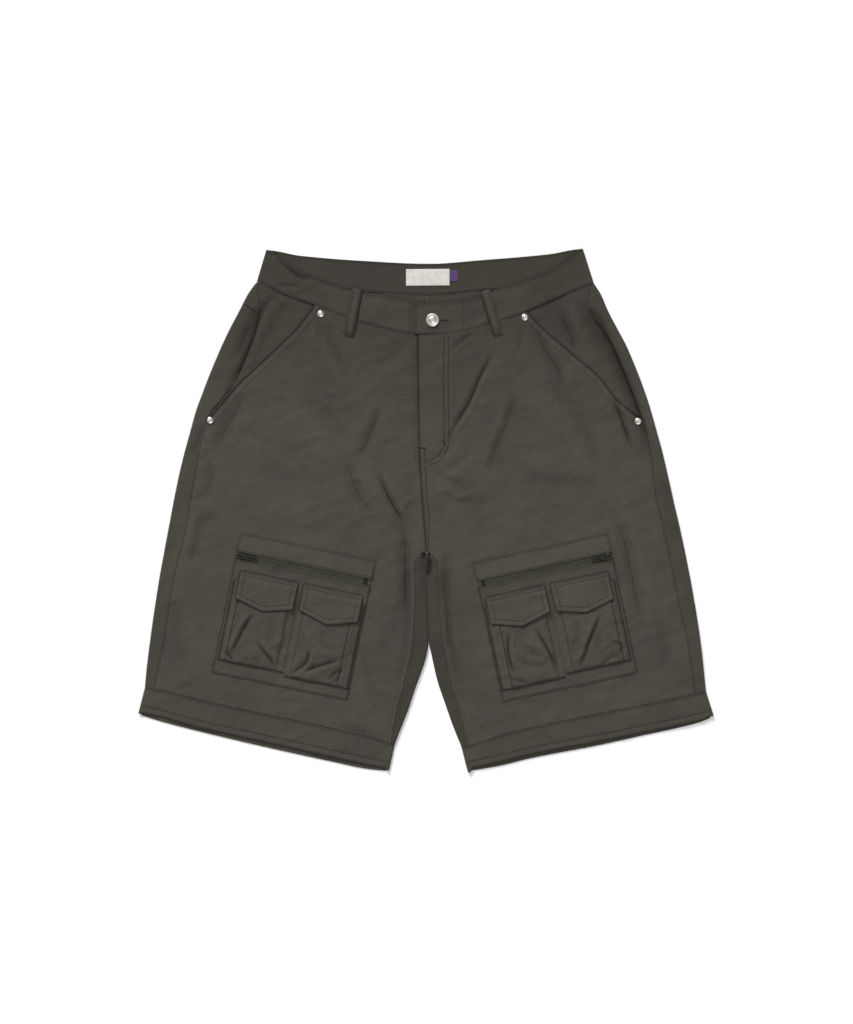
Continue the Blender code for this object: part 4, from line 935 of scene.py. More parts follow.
def addBackPanel(side):
    look = backPanel
    outerRows, innerRows = outerEdge[side], innerEdge[side]
    centreTop = column(backWaist, "x", "seam", 0.3)
    fall = centreTop - innerRows[-1].y
    levels = spread(fall, look["rowStep"], 1.5, 8)
    crotchAt = (centreTop - crotch) / fall
    levels = np.sort(np.append(levels[np.abs(levels - crotchAt) > 0.5 / fall], crotchAt))
    inward = np.array([-sign[side], 0.0])
    floorSteps = int(look["floorWidth"] / look["floorStep"])
    rows, keepRows = [], []
    for level in levels:
        outerY = outerRows[0].y + (outerRows[-1].y - outerRows[0].y) * level
        innerY = centreTop - fall * level
        edge, seam = outlinePoint(side, outerY), seamPoint(side, outerY, -gap / 2)
        height = float(frontHeight(*edge))
        brink = edge + inward * height / 2
        wrap = seam + (brink - seam) * (np.linspace(0, 1, look["wrapSteps"] + 1)[:-1, None])
        wrapHeight = frontHeight(wrap[:, 0], wrap[:, 1])
        near = ease(np.linalg.norm(wrap - brink, axis=1) / 5)
        top = np.column_stack([wrap, height * (1 - near) + wrapHeight * near])
        turn = foldTurn(edge, inward, height)
        belowCrotch = innerY <= crotch + 1e-6
        innerHeight = column(innerRows, "y", "height", min(innerY, crotch))
        innerX = column(innerRows, "y", "edge", innerY) if belowCrotch else 0.5 + sign[side] * gap / 2
        inner = np.array([innerX, innerY])
        innerBrink = inner - inward * innerHeight / 2 if belowCrotch else inner
        f = np.linspace(0, 1, floorSteps + 1)[1:]
        floor = brink + (innerBrink - brink) * f[:, None]
        waistBow = column(backWaist, "x", "seam", floor[:, 0]) - outerRows[0].y
        waistBow = waistBow - (centreTop - outerRows[0].y) * f
        hemBow = column(hemLine[side], "x", "seam", floor[:, 0]) - outerRows[-1].y
        hemBow = hemBow - (innerRows[-1].y - outerRows[-1].y) * f
        floor[:-1, 1] += (waistBow * (1 - level) + hemBow * level)[:-1]
        width = abs(innerBrink[0] - brink[0])
        settle = ease(np.minimum(f, (1 - f) if belowCrotch else 1) * width / 18)
        settle = settle * ease((level * fall - 2) / 14) * ease(((1 - level) * fall - 2) / 14)
        under = np.column_stack([floor, backHeight(floor[:, 0], floor[:, 1]) * settle])
        innerTurn = foldTurn(inner, -inward, innerHeight, 8)[::-1][1:]
        seamEnd = inseamPoint(side, min(innerY, crotch), -gap / 2)
        g = np.linspace(0, 1, look["innerSteps"] + 1)[1:, None]
        overTop = innerTurn[-1][:2] + (seamEnd - innerTurn[-1][:2]) * g
        soon = ease(g[:, 0] * 2)
        overHeight = innerTurn[-1][2] * (1 - soon) + frontHeight(overTop[:, 0], overTop[:, 1]) * soon
        rows.append(np.vstack([top, turn, under, innerTurn, np.column_stack([overTop, overHeight])]))
        keepRows.append(belowCrotch)
    points = np.array(rows)
    floorEnd = look["wrapSteps"] + 11 + floorSteps - 1
    keep = np.array(keepRows)[:, None] | (np.arange(points.shape[1]) <= floorEnd)[None]
    points[0, :, 1] -= gap
    points[-1, :, 1] = column(hemLine[side], "x", "seam", points[-1, :, 0]) + gap
    x, y = points[..., 0].copy(), points[..., 1].copy()
    relief = Relief(x, y, onFront=True)
    # painted shade on the wrapped strip below the pocket's rivet, and on the inner parts between the legs
    relief.tone -= look["wrapShade"] * ease((mouthEnd - 10 - y) / 30)
    relief.tone -= look["innerShade"] * (np.abs(x) < 60) * ease((-y - 50) / 20)
    # at the hip the side seam lies in a fold, which runs off inwards below the waist
    fold = ease((265 - y) / 20) * ease((y - 105) / 30)
    strength = 0.1 + 0.9 * ease((265 - y) / 20) + 1.6 * fold
    relief.seam(seamLines["side" + side], (), 0.4, 0.6, 2, 0.22, strength)
    relief.seam(seamLines["inseam" + side], (), 0.45, -0.3, 3, 0.2)
    relief.seam(seamLines["hem" + side], (), 0.4, 0.3, 5, 0.15)
    # painted shade on the underside where it shows inside the waist
    relief.pressInto(points, relief.tone, -look["inShade"] * (y > 200))
    addSheet("backPanel" + side, points, look["wall"], clothFinish, ["floor"], relief, keep,
             "down")


# hip facings: the cloth behind the slanted pocket mouths
hipFacing = {"length": 175, "width": 50, "under": 7, "dip": 1.9, "reach": 0.93, "foot": 4, "wall": 0.7,
             "cut": {"Right": (0.075, 0.17, 0.0069), "Left": (0.10, 0.17, 0.0093)}}


def addHipFacing(side):
    look = hipFacing
    topY = outerEdge[side][0].y
    y = topY + (mouthEnd + look["foot"] - topY) * spread(look["length"], 2.4, 1.2, 5)
    f = (topY - y) / (topY - y[-1])
    start = seamPoint(side, y, gap)
    endY = mouth[side][0][1] + (mouthEnd - mouth[side][0][1]) * f * look["reach"]
    end = mouthPoint(side, endY, look["under"])
    g = spread(look["width"], 2.2, 1.2, 5)[None, :, None]
    flat = start[:, None] * (1 - g) + end[:, None] * g
    flat[0, :, 1] = column(frontWaist[side], "x", "seam", flat[0, :, 0]) - gap
    x, y = flat[..., 0], flat[..., 1]
    relief = Relief(x, y, onFront=True)
    fold = ease((265 - y) / 20)
    relief.seam(seamLines["side" + side], (), 0.4, 0.6, 2, 0.22, 0.1 + 2.4 * fold)
    relief.seam(seamLines["mouth" + side], (), 0.2, 0.6, 8, 0.7)
    relief.seam(seamLines["waist" + side], (), 0.3, 0.2, 4, 0.12)
    # painted shade: the facing a little darker all over
    relief.tone -= 0.06
    height = frontHeight(x, y) + relief.height - look["dip"] * ease(g[..., 0] / 0.6)
    addSheet("hipFacing" + side, np.dstack([x, y, height]), look["wall"], clothFinish,
             [nodeName("back" + side)], relief)


# waistband: two doubled strips. The front ones fold round the sides; the right one slips under the left one
band = {"frontLength": 215, "backLength": 410, "height": 42, "rise": 0.4, "wall": 1.5, "tuck": 3, "step": 2.2,
        "underButton": 8.65, "wave": 0.35, "shade": 0.24, "inShade": 0.4, "sideShade": 0.16,
        "frontCut": {"Right": (0.235, 0.046, 0.0092), "Left": (0.235, 0.046, 0.0100)},
        "backCut": (0.415, 0.046, 0.0165)}


def addFrontBand(side):
    look = band
    table = frontWaist[side]
    topEnd, seamEnd = ends(waistSide[side])
    innerX = buttonSpot[0] + look["underButton"] if side == "Right" else table[0].x
    inward = np.array([-sign[side], 0.0])
    places = spread(look["frontLength"], look["step"], 1.0, 4)
    rows = []
    for f in spread(look["height"], look["step"], 1.0, 5):
        edge = topEnd * (1 - f) + seamEnd * f
        height = float(frontHeight(*edge)) + look["rise"]
        brink = edge + inward * height / 2
        x = innerX + (brink[0] - innerX) * places[:-1]
        topY, seamY = column(table, "x", "top", x), column(table, "x", "seam", x)
        y = topY + (seamY - topY) * f
        near = ease((abs(brink[0]) - np.abs(x)) / 14)
        z = (frontHeight(x, y) + look["rise"]) * near + height * (1 - near)
        z = z + look["wave"] * softNoise(x, y, 24, 12, 90) * near
        if side == "Right":
            z = z - (look["wall"] + gap) * ease((x - frontWaist["Left"][0].x + 9) / 8)
        flatPart = np.column_stack([x, y, z])
        tuck = [[brink[0] + inward[0] * look["tuck"], brink[1], 0.0]]
        rows.append(np.vstack([flatPart, foldTurn(edge, inward, height), tuck]))
    points = np.array(rows)
    x, y = points[..., 0], points[..., 1]
    relief = Relief(x, y, onFront=True)
    # painted shade: the band's own shade in place of the waist's, and darker towards its sides
    relief.tone += topShade - look["shade"]
    relief.tone -= look["sideShade"] * ease((np.abs(x) - 90) / 70)
    topLine = edgeLine(table, "top", np.linspace(innerX, brink[0], 12))
    relief.seam(topLine, (2.2,), 0.25, 0.3, 11, 0.2)
    relief.seam(seamLines["waist" + side], (2.0,), 0.3, 0.2, 12, 0.15)
    loopTop, loopFoot = ends(beltLoop[side])
    besideLoop = np.array([-sign[side] * 7.0, 0])    # the shadow at the loop's side
    relief.shadeLine(np.array([loopTop + besideLoop, loopFoot + besideLoop]), 0.0, 0.7)
    if side == "Left":
        endLine = [(innerX, column(table, "x", "top", innerX)), (innerX, column(table, "x", "seam", innerX))]
        relief.seam(np.array(endLine, float), (2.0,), 0.15, 0.1, 13)
    relief.pressInto(points, relief.tone, 0, clearLines=False)
    addSheet("waistbandFront" + side, points, look["wall"], clothFinish,
             ["waistband_back", nodeName("back" + side)], relief)


def addBackBand():
    look = band
    inset = (lift + look["rise"]) / 2 + look["tuck"] + gap
    rows = []
    for f in spread(look["height"], look["step"], 1.0, 5):
        start, end = (waistSide[side][0][0] * (1 - f) + waistSide[side][1][0] * f - sign[side] * inset
                      for side in sides)
        x = start + (end - start) * spread(look["backLength"], look["step"])
        topY, seamY = column(backWaist, "x", "top", x), column(backWaist, "x", "seam", x)
        y = topY + (seamY - topY) * f
        z = look["wall"] + 0.5 * np.maximum(softNoise(x, y, 30, 16, 91), 0) * ease((np.abs(x - 3) - 45) / 30)
        rows.append(np.column_stack([x, y, z]))
    points = np.array(rows)
    relief = Relief(points[..., 0], points[..., 1])
    lineX = np.linspace(-205, 205, 24)
    relief.seam(edgeLine(backWaist, "top", lineX), (2.2,), 0.2, 0.2, 14)
    relief.seam(edgeLine(backWaist, "seam", lineX), (2.0,), 0.2, 0.2, 15)
    points[..., 2] += np.maximum(relief.height, -0.5)
    # painted shade on the inside of the back band
    relief.tone -= look["inShade"]
    addSheet("waistbandBack", points, look["wall"] - 0.2, clothFinish, ["floor"], relief)


# hem bands, where the zip-off legs join: flattened tubes whose back edge shows below the front one
hemBand = {"length": 320, "height": 35, "wall": 1.3, "step": 2.4,
           "cut": {"Right": (0.69, 0.037, 0.0240), "Left": (0.68, 0.037, 0.0236)}}


def addHemBand(side):
    look = hemBand
    table = hemLine[side]
    inward = np.array([-sign[side], 0.0])
    rows = []
    for f in spread(look["height"], look["step"], 1.0, 5):
        turns = []
        for end, into in (("outer", inward), ("inner", -inward)):
            seam, hem = ends(hemSides[side][end])
            edge = seam * (1 - f) + hem * f
            turns.append(foldTurn(edge, into, float(frontHeight(*edge)) + gap))
        outerTurn, innerTurn = turns
        start, end = outerTurn[0], innerTurn[0]
        share = np.linspace(0, 1, int(look["length"] / look["step"]) + 1)[1:-1]
        x = start[0] + (end[0] - start[0]) * share
        seamY = column(table, "x", "seam", x)
        frontY = seamY + (column(table, "x", "front", x) - seamY) * f
        backY = seamY + (column(table, "x", "back", x) - seamY) * f
        near = ease(np.minimum(share, 1 - share) * look["length"] / 12)
        z = (frontHeight(x, frontY) + gap) * near + (start[2] + (end[2] - start[2]) * share) * (1 - near)
        z = z + 0.5 * f * softNoise(x, frontY * 0, 19, 10, 95) * near    # the free edge waves a little
        front = np.column_stack([x, frontY, z])
        lay = 0.5 * backHeight(x, backY) * near * ease(f * 3) * ease((1 - f) * 3)
        back = np.column_stack([x, backY, lay])
        rows.append(np.vstack([outerTurn[::-1], front, innerTurn, back[::-1], outerTurn[-1:]]))
    points = np.array(rows)
    points[0, :, 1] = column(table, "x", "seam", points[0, :, 0]) - gap / 2
    relief = Relief(points[..., 0], points[..., 1])
    relief.seam(seamLines["hem" + side], (2.0,), 0.45, 0.3, 16, 0.2)
    relief.seam(edgeLine(table, "front"), (), 0.2, 0.1, 17)
    relief.shadeLine(edgeLine(table, "front", shift=8), 0.3)
    relief.pressInto(points, relief.tone - 0.05, 0)
    addSheet("hemBand" + side, points, look["wall"], clothFinish, ["floor"], relief,
             faces="ring")


# belt loops, folded over the waistband's top edge and tacked down below its seam
beltLoop = {"Right": ((-89.5, 286), (-100.5, 228)), "Left": ((77, 284), (93.5, 229)), "width": 12.5,
            "wall": 1.3, "overhang": 2.6, "tuckedUnder": 3.9, "bow": 1.5, "crown": 0.35, "footUp": 1.9,
            "shade": 0.18, "stitches": 4.2, "cut": (0.0125, 0.066, 0.00082)}


def loopAxes(side):
    # a belt loop's two ends, its length, and the directions down and across it
    top, bottom = ends(beltLoop[side])
    length = np.linalg.norm(bottom - top)
    down = (bottom - top) / length
    return top, bottom, length, down, np.array([-down[1], down[0]])


def addBeltLoop(side):
    look = beltLoop
    top, _, length, down, across = loopAxes(side)
    reach = np.concatenate([[-look["overhang"], -look["overhang"], -1.6, 0.5], np.linspace(2.5, length, 36)])
    widths = (spread(look["width"], 1.2) - 0.5) * look["width"]
    rows = []
    for k, place in enumerate(reach):
        spots = top + down * place + across * widths[:, None]
        if k == 0:
            height = np.full(len(widths), look["tuckedUnder"])
        else:
            bow = look["bow"] * math.sin(math.pi * np.clip(place / length, 0, 1))
            over = lift + 0.4 + 2.0 * ease((place + 3.2) / 4) + bow
            foot = ease((place - length + 9) / 8)
            height = over * (1 - foot) + (frontHeight(spots[:, 0], spots[:, 1]) + look["footUp"]) * foot
            height = height - 0.5 * foot * bell((place - length + 5) / 1.5)
        crown = look["crown"] * np.cos(widths / look["width"] * math.pi)
        crown = crown - 0.25 * bell((np.abs(widths) - look["stitches"]) / 0.8)
        rows.append(np.column_stack([spots, height + crown]))
    points = np.array(rows)
    relief = Relief(points[..., 0], points[..., 1])
    # painted shade: the loop a little darker, and darker along its rows of stitching
    relief.tone += -look["shade"] - 0.4 * bell((np.abs(widths) - look["stitches"]) / 0.9)[None]
    relief.tone -= 0.8 * ease((-widths * sign[side] - 4.6) / 1.2)[None]    # painted shadow on the side that faces the centre
    addSheet("beltLoop" + side, points, look["wall"], clothFinish,
             [nodeName("waistbandFront" + side)], relief)


# cargo units: a patch with a zip across its top, two bellows bags and their pointed flaps
cargo = {
    "zipTop": 24.8, "zipBottom": 33.6, "zipRise": 1.3, "tapeEdge": 3.4, "tapeUp": 0.8, "patchDown": 46.5,
    "rest": 0.4, "layer": 1.0, "patchWall": 0.7, "tapeWall": 0.6, "bagWall": 0.6, "flapWall": 1.0,
    "flatRun": 15, "flapTop": 48.5, "flapPoint": 94, "flapInset": 6.3, "bagTop": 60, "puff": 3.9, "hem": 2.2,
    "crumple": (-3.2, 2.6), "hang": 2.6, "bagShade": 0.6,
    "stripCut": (0.180, 0.0248, 0.00446), "patchCut": (0.180, 0.1514, 0.02725),
    "tapeCut": (0.178, 0.0156, 0.00277),
    "bagCut": (0.092, 0.115, 0.0098), "flapCut": (0.078, 0.046, 0.0031),
}
Bag = namedtuple("Bag", "name start foldStart foldEnd end bottom")
Flap = namedtuple("Flap", "name start end sideDrop")
bags = [Bag("Outer", 5, 12, 83.5, 90, 166), Bag("Inner", 93.5, 98.5, 165.5, 177, 170)]
flaps = [Flap("Outer", 11, 87, 84), Flap("Inner", 95, 173, 83)]
# Folds of the bags, across and down their unit.
bagCreases = {
    "RightOuter": rowsOf(Crease,
        ([(40, 97), (30, 120), (20, 159)], 2.8, 2.9, 1),
        ([(50, 135), (68, 150), (82, 161)], 2.8, 2.4, -1),
        ([(10, 154), (18, 157), (26, 163)], 2.6, 2.2, 1),
        ([(60, 98), (67, 118), (64, 138)], 5, 1.2, -1),
        ([(36, 162), (48, 157), (60, 160)], 3, 1.3, 1),
        ([(20, 98), (18, 118), (17, 138)], 4, 1.0, -1)),
    "RightInner": rowsOf(Crease,
        ([(119, 127), (117, 149), (100, 166)], 2.8, 2.8, -1),
        ([(112, 162), (139, 147), (163, 134)], 2.8, 2.4, 1),
        ([(150, 164), (160, 152), (168, 149)], 2.6, 1.8, -1),
        ([(157, 166), (163, 158), (166, 146)], 2.4, 1.6, 1),
        ([(130, 100), (135, 118), (150, 128)], 5, 1.2, 1),
        ([(104, 102), (107, 122), (103, 142)], 4, 1.2, -1)),
    "LeftInner": rowsOf(Crease,
        ([(151, 97), (159, 121), (158, 156)], 2.8, 2.6, 1),
        ([(119, 99), (110, 125), (100, 161)], 2.8, 2.9, -1),
        ([(141, 111), (131, 129), (114, 141)], 5, 1.5, 1),
        ([(150, 136), (136, 146), (112, 152)], 4, 1.3, -1),
        ([(166, 158), (152, 161), (140, 167)], 2.6, 1.7, 1)),
    "LeftOuter": rowsOf(Crease,
        ([(29, 98), (52, 130), (67, 154), (80, 162)], 2.8, 2.9, -1),
        ([(28, 139), (18, 141), (13, 150), (21, 158)], 2.4, 1.8, 1),
        ([(45, 164), (28, 156), (14, 160)], 2.6, 1.6, -1),
        ([(66, 98), (66, 120), (72, 142)], 5, 1.3, 1),
        ([(38, 122), (44, 140), (40, 156)], 4.5, 1.2, 1)),
}


def fullness(t):
    return 0.35 + 0.65 * ease((t - cargo["bagTop"]) / 45)


def cargoSheet(name, side, s, t, height, wall, finish, restsOn, relief=None):
    x, y = cargoPoint(side, s, t)
    points = np.dstack([x, y, frontHeight(x, y) + height])
    addSheet(name + side, points, wall, finish, [nodeName(restsOn + side)], relief)


def patchHeight(t):
    down = 1 - ease((t - cargo["zipBottom"]) / (cargo["patchDown"] - cargo["zipBottom"]))
    rise = np.where(t < cargo["zipTop"] + 1, ease(t / cargo["zipTop"]), down)
    return cargo["rest"] + cargo["layer"] + cargo["zipRise"] * rise


def addCargoUnit(side):
    look = cargo
    seed = 120 if side == "Right" else 150
    across = cargoWidth * spread(cargoWidth, 2.0, 1.0, 6)
    zipTop, zipBottom = look["zipTop"], look["zipBottom"]
    edges = [((s, 0), (s, cargoHeight)) for s in (0, cargoWidth)]

    s, t = np.meshgrid(across, zipTop * spread(zipTop, 1.6, 0.9, 4))
    relief = Relief(s, t)
    for k, edge in enumerate(edges):
        relief.seam(edge, (1.8,), 0.2, 0.5, seed + k)
    relief.seam(((0, 0), (cargoWidth, 0)), (1.8,), 0.25, 0.5, seed + 2)
    relief.seam(((0, zipTop), (cargoWidth, zipTop)), (2.4,), 0.25, 0.2, seed + 3)
    cargoSheet("cargoTopStrip", side, s, t, patchHeight(t) + relief.height, look["patchWall"], cargoFinish,
               "front", relief)

    fall = cargoHeight - zipBottom
    s, t = np.meshgrid(across, zipBottom + fall * spread(fall, 2.0, 0.9, 6))
    relief = Relief(s, t)
    for k, edge in enumerate(edges):
        relief.seam(edge, (1.8,), 0.3, 0.7, seed + 4 + k, 0.85)
    relief.seam(((0, cargoHeight), (cargoWidth, cargoHeight)), (1.8,), 0.35, 0.4, seed + 6, 0.2)
    relief.seam(((0, zipBottom), (cargoWidth, zipBottom)), (2.4,), 0.25, 0.2, seed + 7)
    for bag in bags:    # the cloth is darker in the shade of the bags
        outer, foot = bag.start if bag.name == "Outer" else bag.end, bag.bottom + 2
        for line in (((outer, 60), (outer, bag.bottom)), ((bag.start, foot), (bag.end, foot))):
            relief.tone -= look["bagShade"] * bell(nearLine(line, s, t)[0] / 1.5)
    # painted shadow round the flaps' edges, as thin lines
    for flap in flaps:
        top = look["flapTop"] - 1
        for line in flapLines(flap, -1.0) + [((flap.start, top), (flap.end, top))]:
            relief.shadeLine(line, 0.0, 0.8)
    cargoSheet("cargoPatch", side, s, t, patchHeight(t) + relief.height, look["patchWall"], cargoFinish,
               "front", relief)

    s, t = np.meshgrid(1 + (cargoWidth - 2) * spread(cargoWidth - 2, 2.5),
                       np.linspace(zipTop - look["tapeEdge"], zipBottom + look["tapeEdge"], 11))
    cargoSheet("zipTape", side, s, t, look["rest"] + look["tapeUp"], look["tapeWall"], tapeFinish,
               "front")
    for bag in bags:
        addBag(side, bag, seed)
    for flap in flaps:
        addFlap(side, flap, seed)


def addBag(side, bag, seed):
    look = cargo
    width, length = bag.end - bag.start, bag.bottom - look["bagTop"]
    s, t = np.meshgrid(bag.start + width * spread(width, 1.5, 0.7, 4),
                       look["bagTop"] + length * spread(length, 1.5, 0.8, 8, (False, True)))
    full = fullness(t)
    # the gussets rise from the patch to the folded edges, and the face lies between those
    startRun, endRun = bag.foldStart - bag.start, bag.end - bag.foldEnd
    if bag.name == "Outer":    # towards the middle of the unit the bags lie flat
        endRun = look["flatRun"]
    else:
        startRun = look["flatRun"]
    rise = ease((s - bag.start) / startRun) * ease((bag.end - s) / endRun)
    face = ease((s - bag.foldStart + 1) / 5) * ease((bag.foldEnd + 1 - s) / 5)
    height = full * look["puff"] * (0.72 * rise + 0.28 * face)
    folds = (bag.foldStart, bag.foldStart + look["hem"]), (bag.foldEnd, bag.foldEnd - look["hem"])
    for fold, inside in folds:
        height = height + 0.4 * bell((s - fold) / 1.1) * full
        height = height - 0.6 * bell((s - inside) / 1.0) * full
    creases = bagCreases[side + bag.name]
    creased, shaded = np.zeros(s.shape), np.zeros(s.shape)
    for crease in creases:
        creaseUp, creaseTone = creaseHeight(crease, s, t)
        creased, shaded = creased + foldGain * creaseUp, shaded + creaseTone
    creased = creased + 0.8 * softNoise(s, t, 21, 24, seed + 30) + 0.5 * softNoise(s, t, 7, 9, seed + 31)
    creased = creased - 1.3 * np.abs(softNoise(s + 0.5 * t, t - 0.4 * s, 14, 11, seed + 32))
    swirls = np.abs(softNoise(t - 0.5 * s, s + 0.3 * t, 11, 8, seed + 33))
    creased = creased - 0.8 * swirls * ease((t - 110) / 40)
    inFace = ease((s - bag.start - 2) / 5) * ease((bag.end - 2 - s) / 5)
    inFace = inFace * ease((t - look["flapPoint"] + 12) / 16)
    foot = ease((bag.bottom - t) / 6.5)
    height = (height + np.clip(creased, *look["crumple"]) * inFace) * foot
    height = 2 * (look["rest"] + look["layer"]) - 0.2 + np.maximum(height, 0)
    # the face hangs a little over its lower edge
    hang = t + look["hang"] * ease((t - bag.bottom + 14) / 9) * ease((bag.bottom - t) / 3.0)
    relief = Relief(s, t)
    # the folded edges a little paler, and painted shade: thin lines inside the folds, along the outer side,
    # along the bottom and under the flaps' edges
    for k, (fold, inside) in enumerate(folds):
        relief.tone += 0.12 * bell((s - fold) / 1.2)
        dark = 0.9 if (k == 0) == (bag.name == "Outer") else 0.45    # the outer fold's is darker
        relief.lines = nearer(relief.lines, (s - inside) / 0.9, np.full(s.shape, dark))
    outer = (s - bag.start) if bag.name == "Outer" else (bag.end - s)
    relief.tone -= 0.9 * (1 - ease(outer / 3))
    relief.tone -= 0.8 * (1 - ease((bag.bottom - t) / 2.6))
    for line in flapLines(flaps[bags.index(bag)], -1.1):
        relief.shadeLine(line, 0.2, 0.75)
    # painted shade and highlight of the creases, and their crisp lines of painted shade
    relief.tone += shaded * inFace
    for crease in creases:
        if crease.depth > crispDepth:
            away, dark = creaseLine(crease, s, t)
            relief.lines = nearer(relief.lines, away, 1.2 * dark * inFace)
    x, y = cargoPoint(side, s, hang)
    baseX, baseY = cargoPoint(side, s, t)
    points = np.dstack([x, y, frontHeight(baseX, baseY) + height])
    addSheet("bag" + bag.name + side, points, look["bagWall"], cargoFinish,
             [nodeName("cargoPatch" + side)], relief)


def flapLines(flap, inset=0.0):
    # the flap's two sides and its two lower edges, as lines across and down the unit
    half = (flap.end - flap.start) / 2
    top, point = cargo["flapTop"], cargo["flapPoint"]
    slope = (point - flap.sideDrop) / half
    drop = inset * math.sqrt(1 + slope * slope)
    low = flap.sideDrop - drop + slope * inset
    start, end, high = flap.start + inset, flap.end - inset, top + inset * 0.8
    corners = [(start, high), (start, low), (flap.start + half, point - drop), (end, low), (end, high)]
    return [(corners[i], corners[i + 1]) for i in range(4)]


def addFlap(side, flap, seed):
    look = cargo
    half = (flap.end - flap.start) / 2
    s, share = np.meshgrid(flap.start + 2 * half * spread(2 * half, 1.6, 0.8, 5), spread(42, 1.4, 0.8, 5))
    point = flap.sideDrop + (look["flapPoint"] - flap.sideDrop) * (1 - np.abs(s - flap.start - half) / half)
    t = look["flapTop"] + (point - look["flapTop"]) * share
    over = look["rest"] + look["layer"] + look["puff"] * fullness(t) * 1.02
    raised = ease((t - look["flapTop"] - 1) / 11)
    height = 2 * look["rest"] + look["layer"] + 1.2 + over * raised + 0.5 * share**2
    height = height + 0.55 * softNoise(s, t, 26, 20, seed + 40 + int(flap.start)) * ease(share * 2)
    relief = Relief(s, t)
    for k, line in enumerate(flapLines(flap)):
        relief.seam(line, (look["flapInset"],), 0.2, 0.2, seed + 50 + k, 0.5)
    top = ((flap.start, look["flapTop"]), (flap.end, look["flapTop"]))
    relief.seam(top, (look["flapInset"] * 0.8,), 0.15, 0.4, seed + 55, 0.4)
    cargoSheet("flap" + flap.name, side, s, t, height + np.clip(relief.height, -0.7, 0.7), look["flapWall"],
               cargoFinish, "bag" + flap.name, relief)


# bare labels on the inside of the back waistband: a white one, and a purple size tab tucked under its end
labels = {
    "waistLabel": {"low": (-26, 293), "high": (30.6, 314.5), "finish": labelFinish,
                   "cut": (0.0566, 0.0215, 0.001217)},
    "sizeTab": {"low": (31.1, 298.5), "high": (41.5, 312.5), "finish": tabFinish,
                "cut": (0.0104, 0.014, 0.0001456)},
}


def addLabel(name, look):
    low, high = look["low"], look["high"]
    x = low[0] + (high[0] - low[0]) * spread(high[0] - low[0], 1.5, 0.5, 2)
    y = high[1] + (low[1] - high[1]) * spread(high[1] - low[1], 1.5, 0.5, 2)
    x, y = np.meshgrid(x, y)
    inside = np.minimum(np.minimum(x - low[0], high[0] - x), np.minimum(y - low[1], high[1] - y))
    height = 2.35 + 0.3 * ease(inside / 1.5) + 0.12 * softNoise(x, y, 14, 9, 200)
    skew = 0.4 * (x - low[0]) / (high[0] - low[0])
    addSheet(name, np.dstack([x, y + skew, height]), 0.5, look["finish"], ["waistband_back"])


for side in sides:
    addBackPanel(side)
    addHipFacing(side)
    addFrontPanel(side)
    addHemBand(side)
addBackBand()
for side in sides:
    addFrontBand(side)
    addBeltLoop(side)
    addCargoUnit(side)
for name, look in labels.items():
    addLabel(name, look)
print("cloth laid out")

# the tack button: a turned cap with a rolled rim, a sunk middle and a plain ring of dots
tackButton = {"radius": 8.65, "base": 6.2, "rim": 7.15, "well": 5.6, "height": 3.2, "sunk": 0.75, "dots": 14,
              "dotRing": 6.35, "dotSize": 0.42, "domeRadius": 3.4, "domeHeight": 0.55}
rivet = {"radius": 4.5, "flange": 0.55, "flat": 3.1, "nub": 1.35, "nubRise": 0.5}
zipSlider = {"base": 7.0, "length": 11.5, "width": 7.4, "height": 2.4, "nose": 0.26,
             "bridge": (7.4, 1.6, 3.2), "bridgeDrop": 0.9, "bridgeWall": 1.0}
zipStop = 5, 6.5, 1.7    # its length, width and height
pullTab = {"length": 22, "width": 6.6, "thick": 1.0, "bar": 0.9, "window": 5.4, "arm": 1.4, "droop": 4.4,
           "axis": 1.5, "ribs": 5}


def inEdit(piece):
    setActive(piece)
    bpy.ops.object.mode_set(mode="EDIT")
    bpy.ops.mesh.select_mode(type="FACE")
    bpy.ops.mesh.select_all(action="SELECT")


def pick(piece, kind, test):
    # in edit mode, selects the faces or corners whose place in mm and normal pass a test
    bpy.ops.mesh.select_mode(type=kind)
    bpy.ops.mesh.select_all(action="DESELECT")
    mesh = bmesh.from_edit_mesh(piece.data)
    for item in mesh.faces if kind == "FACE" else mesh.verts:
        place = item.calc_center_median() if kind == "FACE" else item.co
        item.select_set(bool(test(place / mm, item.normal)))
    mesh.select_flush_mode()
    bmesh.update_edit_mesh(piece.data)


def reshape(piece, test, resize, about=(0, 0, 0), move=(0, 0, 0)):
    # in edit mode, resizes and moves the corners that pass a test
    pick(piece, "VERT", test)
    bpy.ops.transform.resize(value=resize, center_override=[v * mm for v in about])
    bpy.ops.transform.translate(value=[v * mm for v in move])


def outOfEdit(piece, angle=40):
    bpy.ops.mesh.select_mode(type="FACE")
    bpy.ops.mesh.select_all(action="SELECT")
    bpy.ops.mesh.normals_make_consistent(inside=False)
    bpy.ops.object.mode_set(mode="OBJECT")
    bpy.ops.object.shade_smooth_by_angle(angle=math.radians(angle))
    return piece


def roundEdges(piece, width, angle, segments=2):
    setActive(piece)
    rounding = piece.modifiers.new("edges", "BEVEL")
    rounding.width = width * mm
    rounding.segments = segments
    rounding.limit_method = "ANGLE"
    rounding.angle_limit = math.radians(angle)
    bpy.ops.object.modifier_apply(modifier="edges")
    bpy.ops.object.shade_smooth_by_angle(angle=math.radians(35))
    return piece


def joinInto(first, others):
    setActive(first)
    for piece in others:
        piece.select_set(True)
    bpy.ops.object.join()
    return first


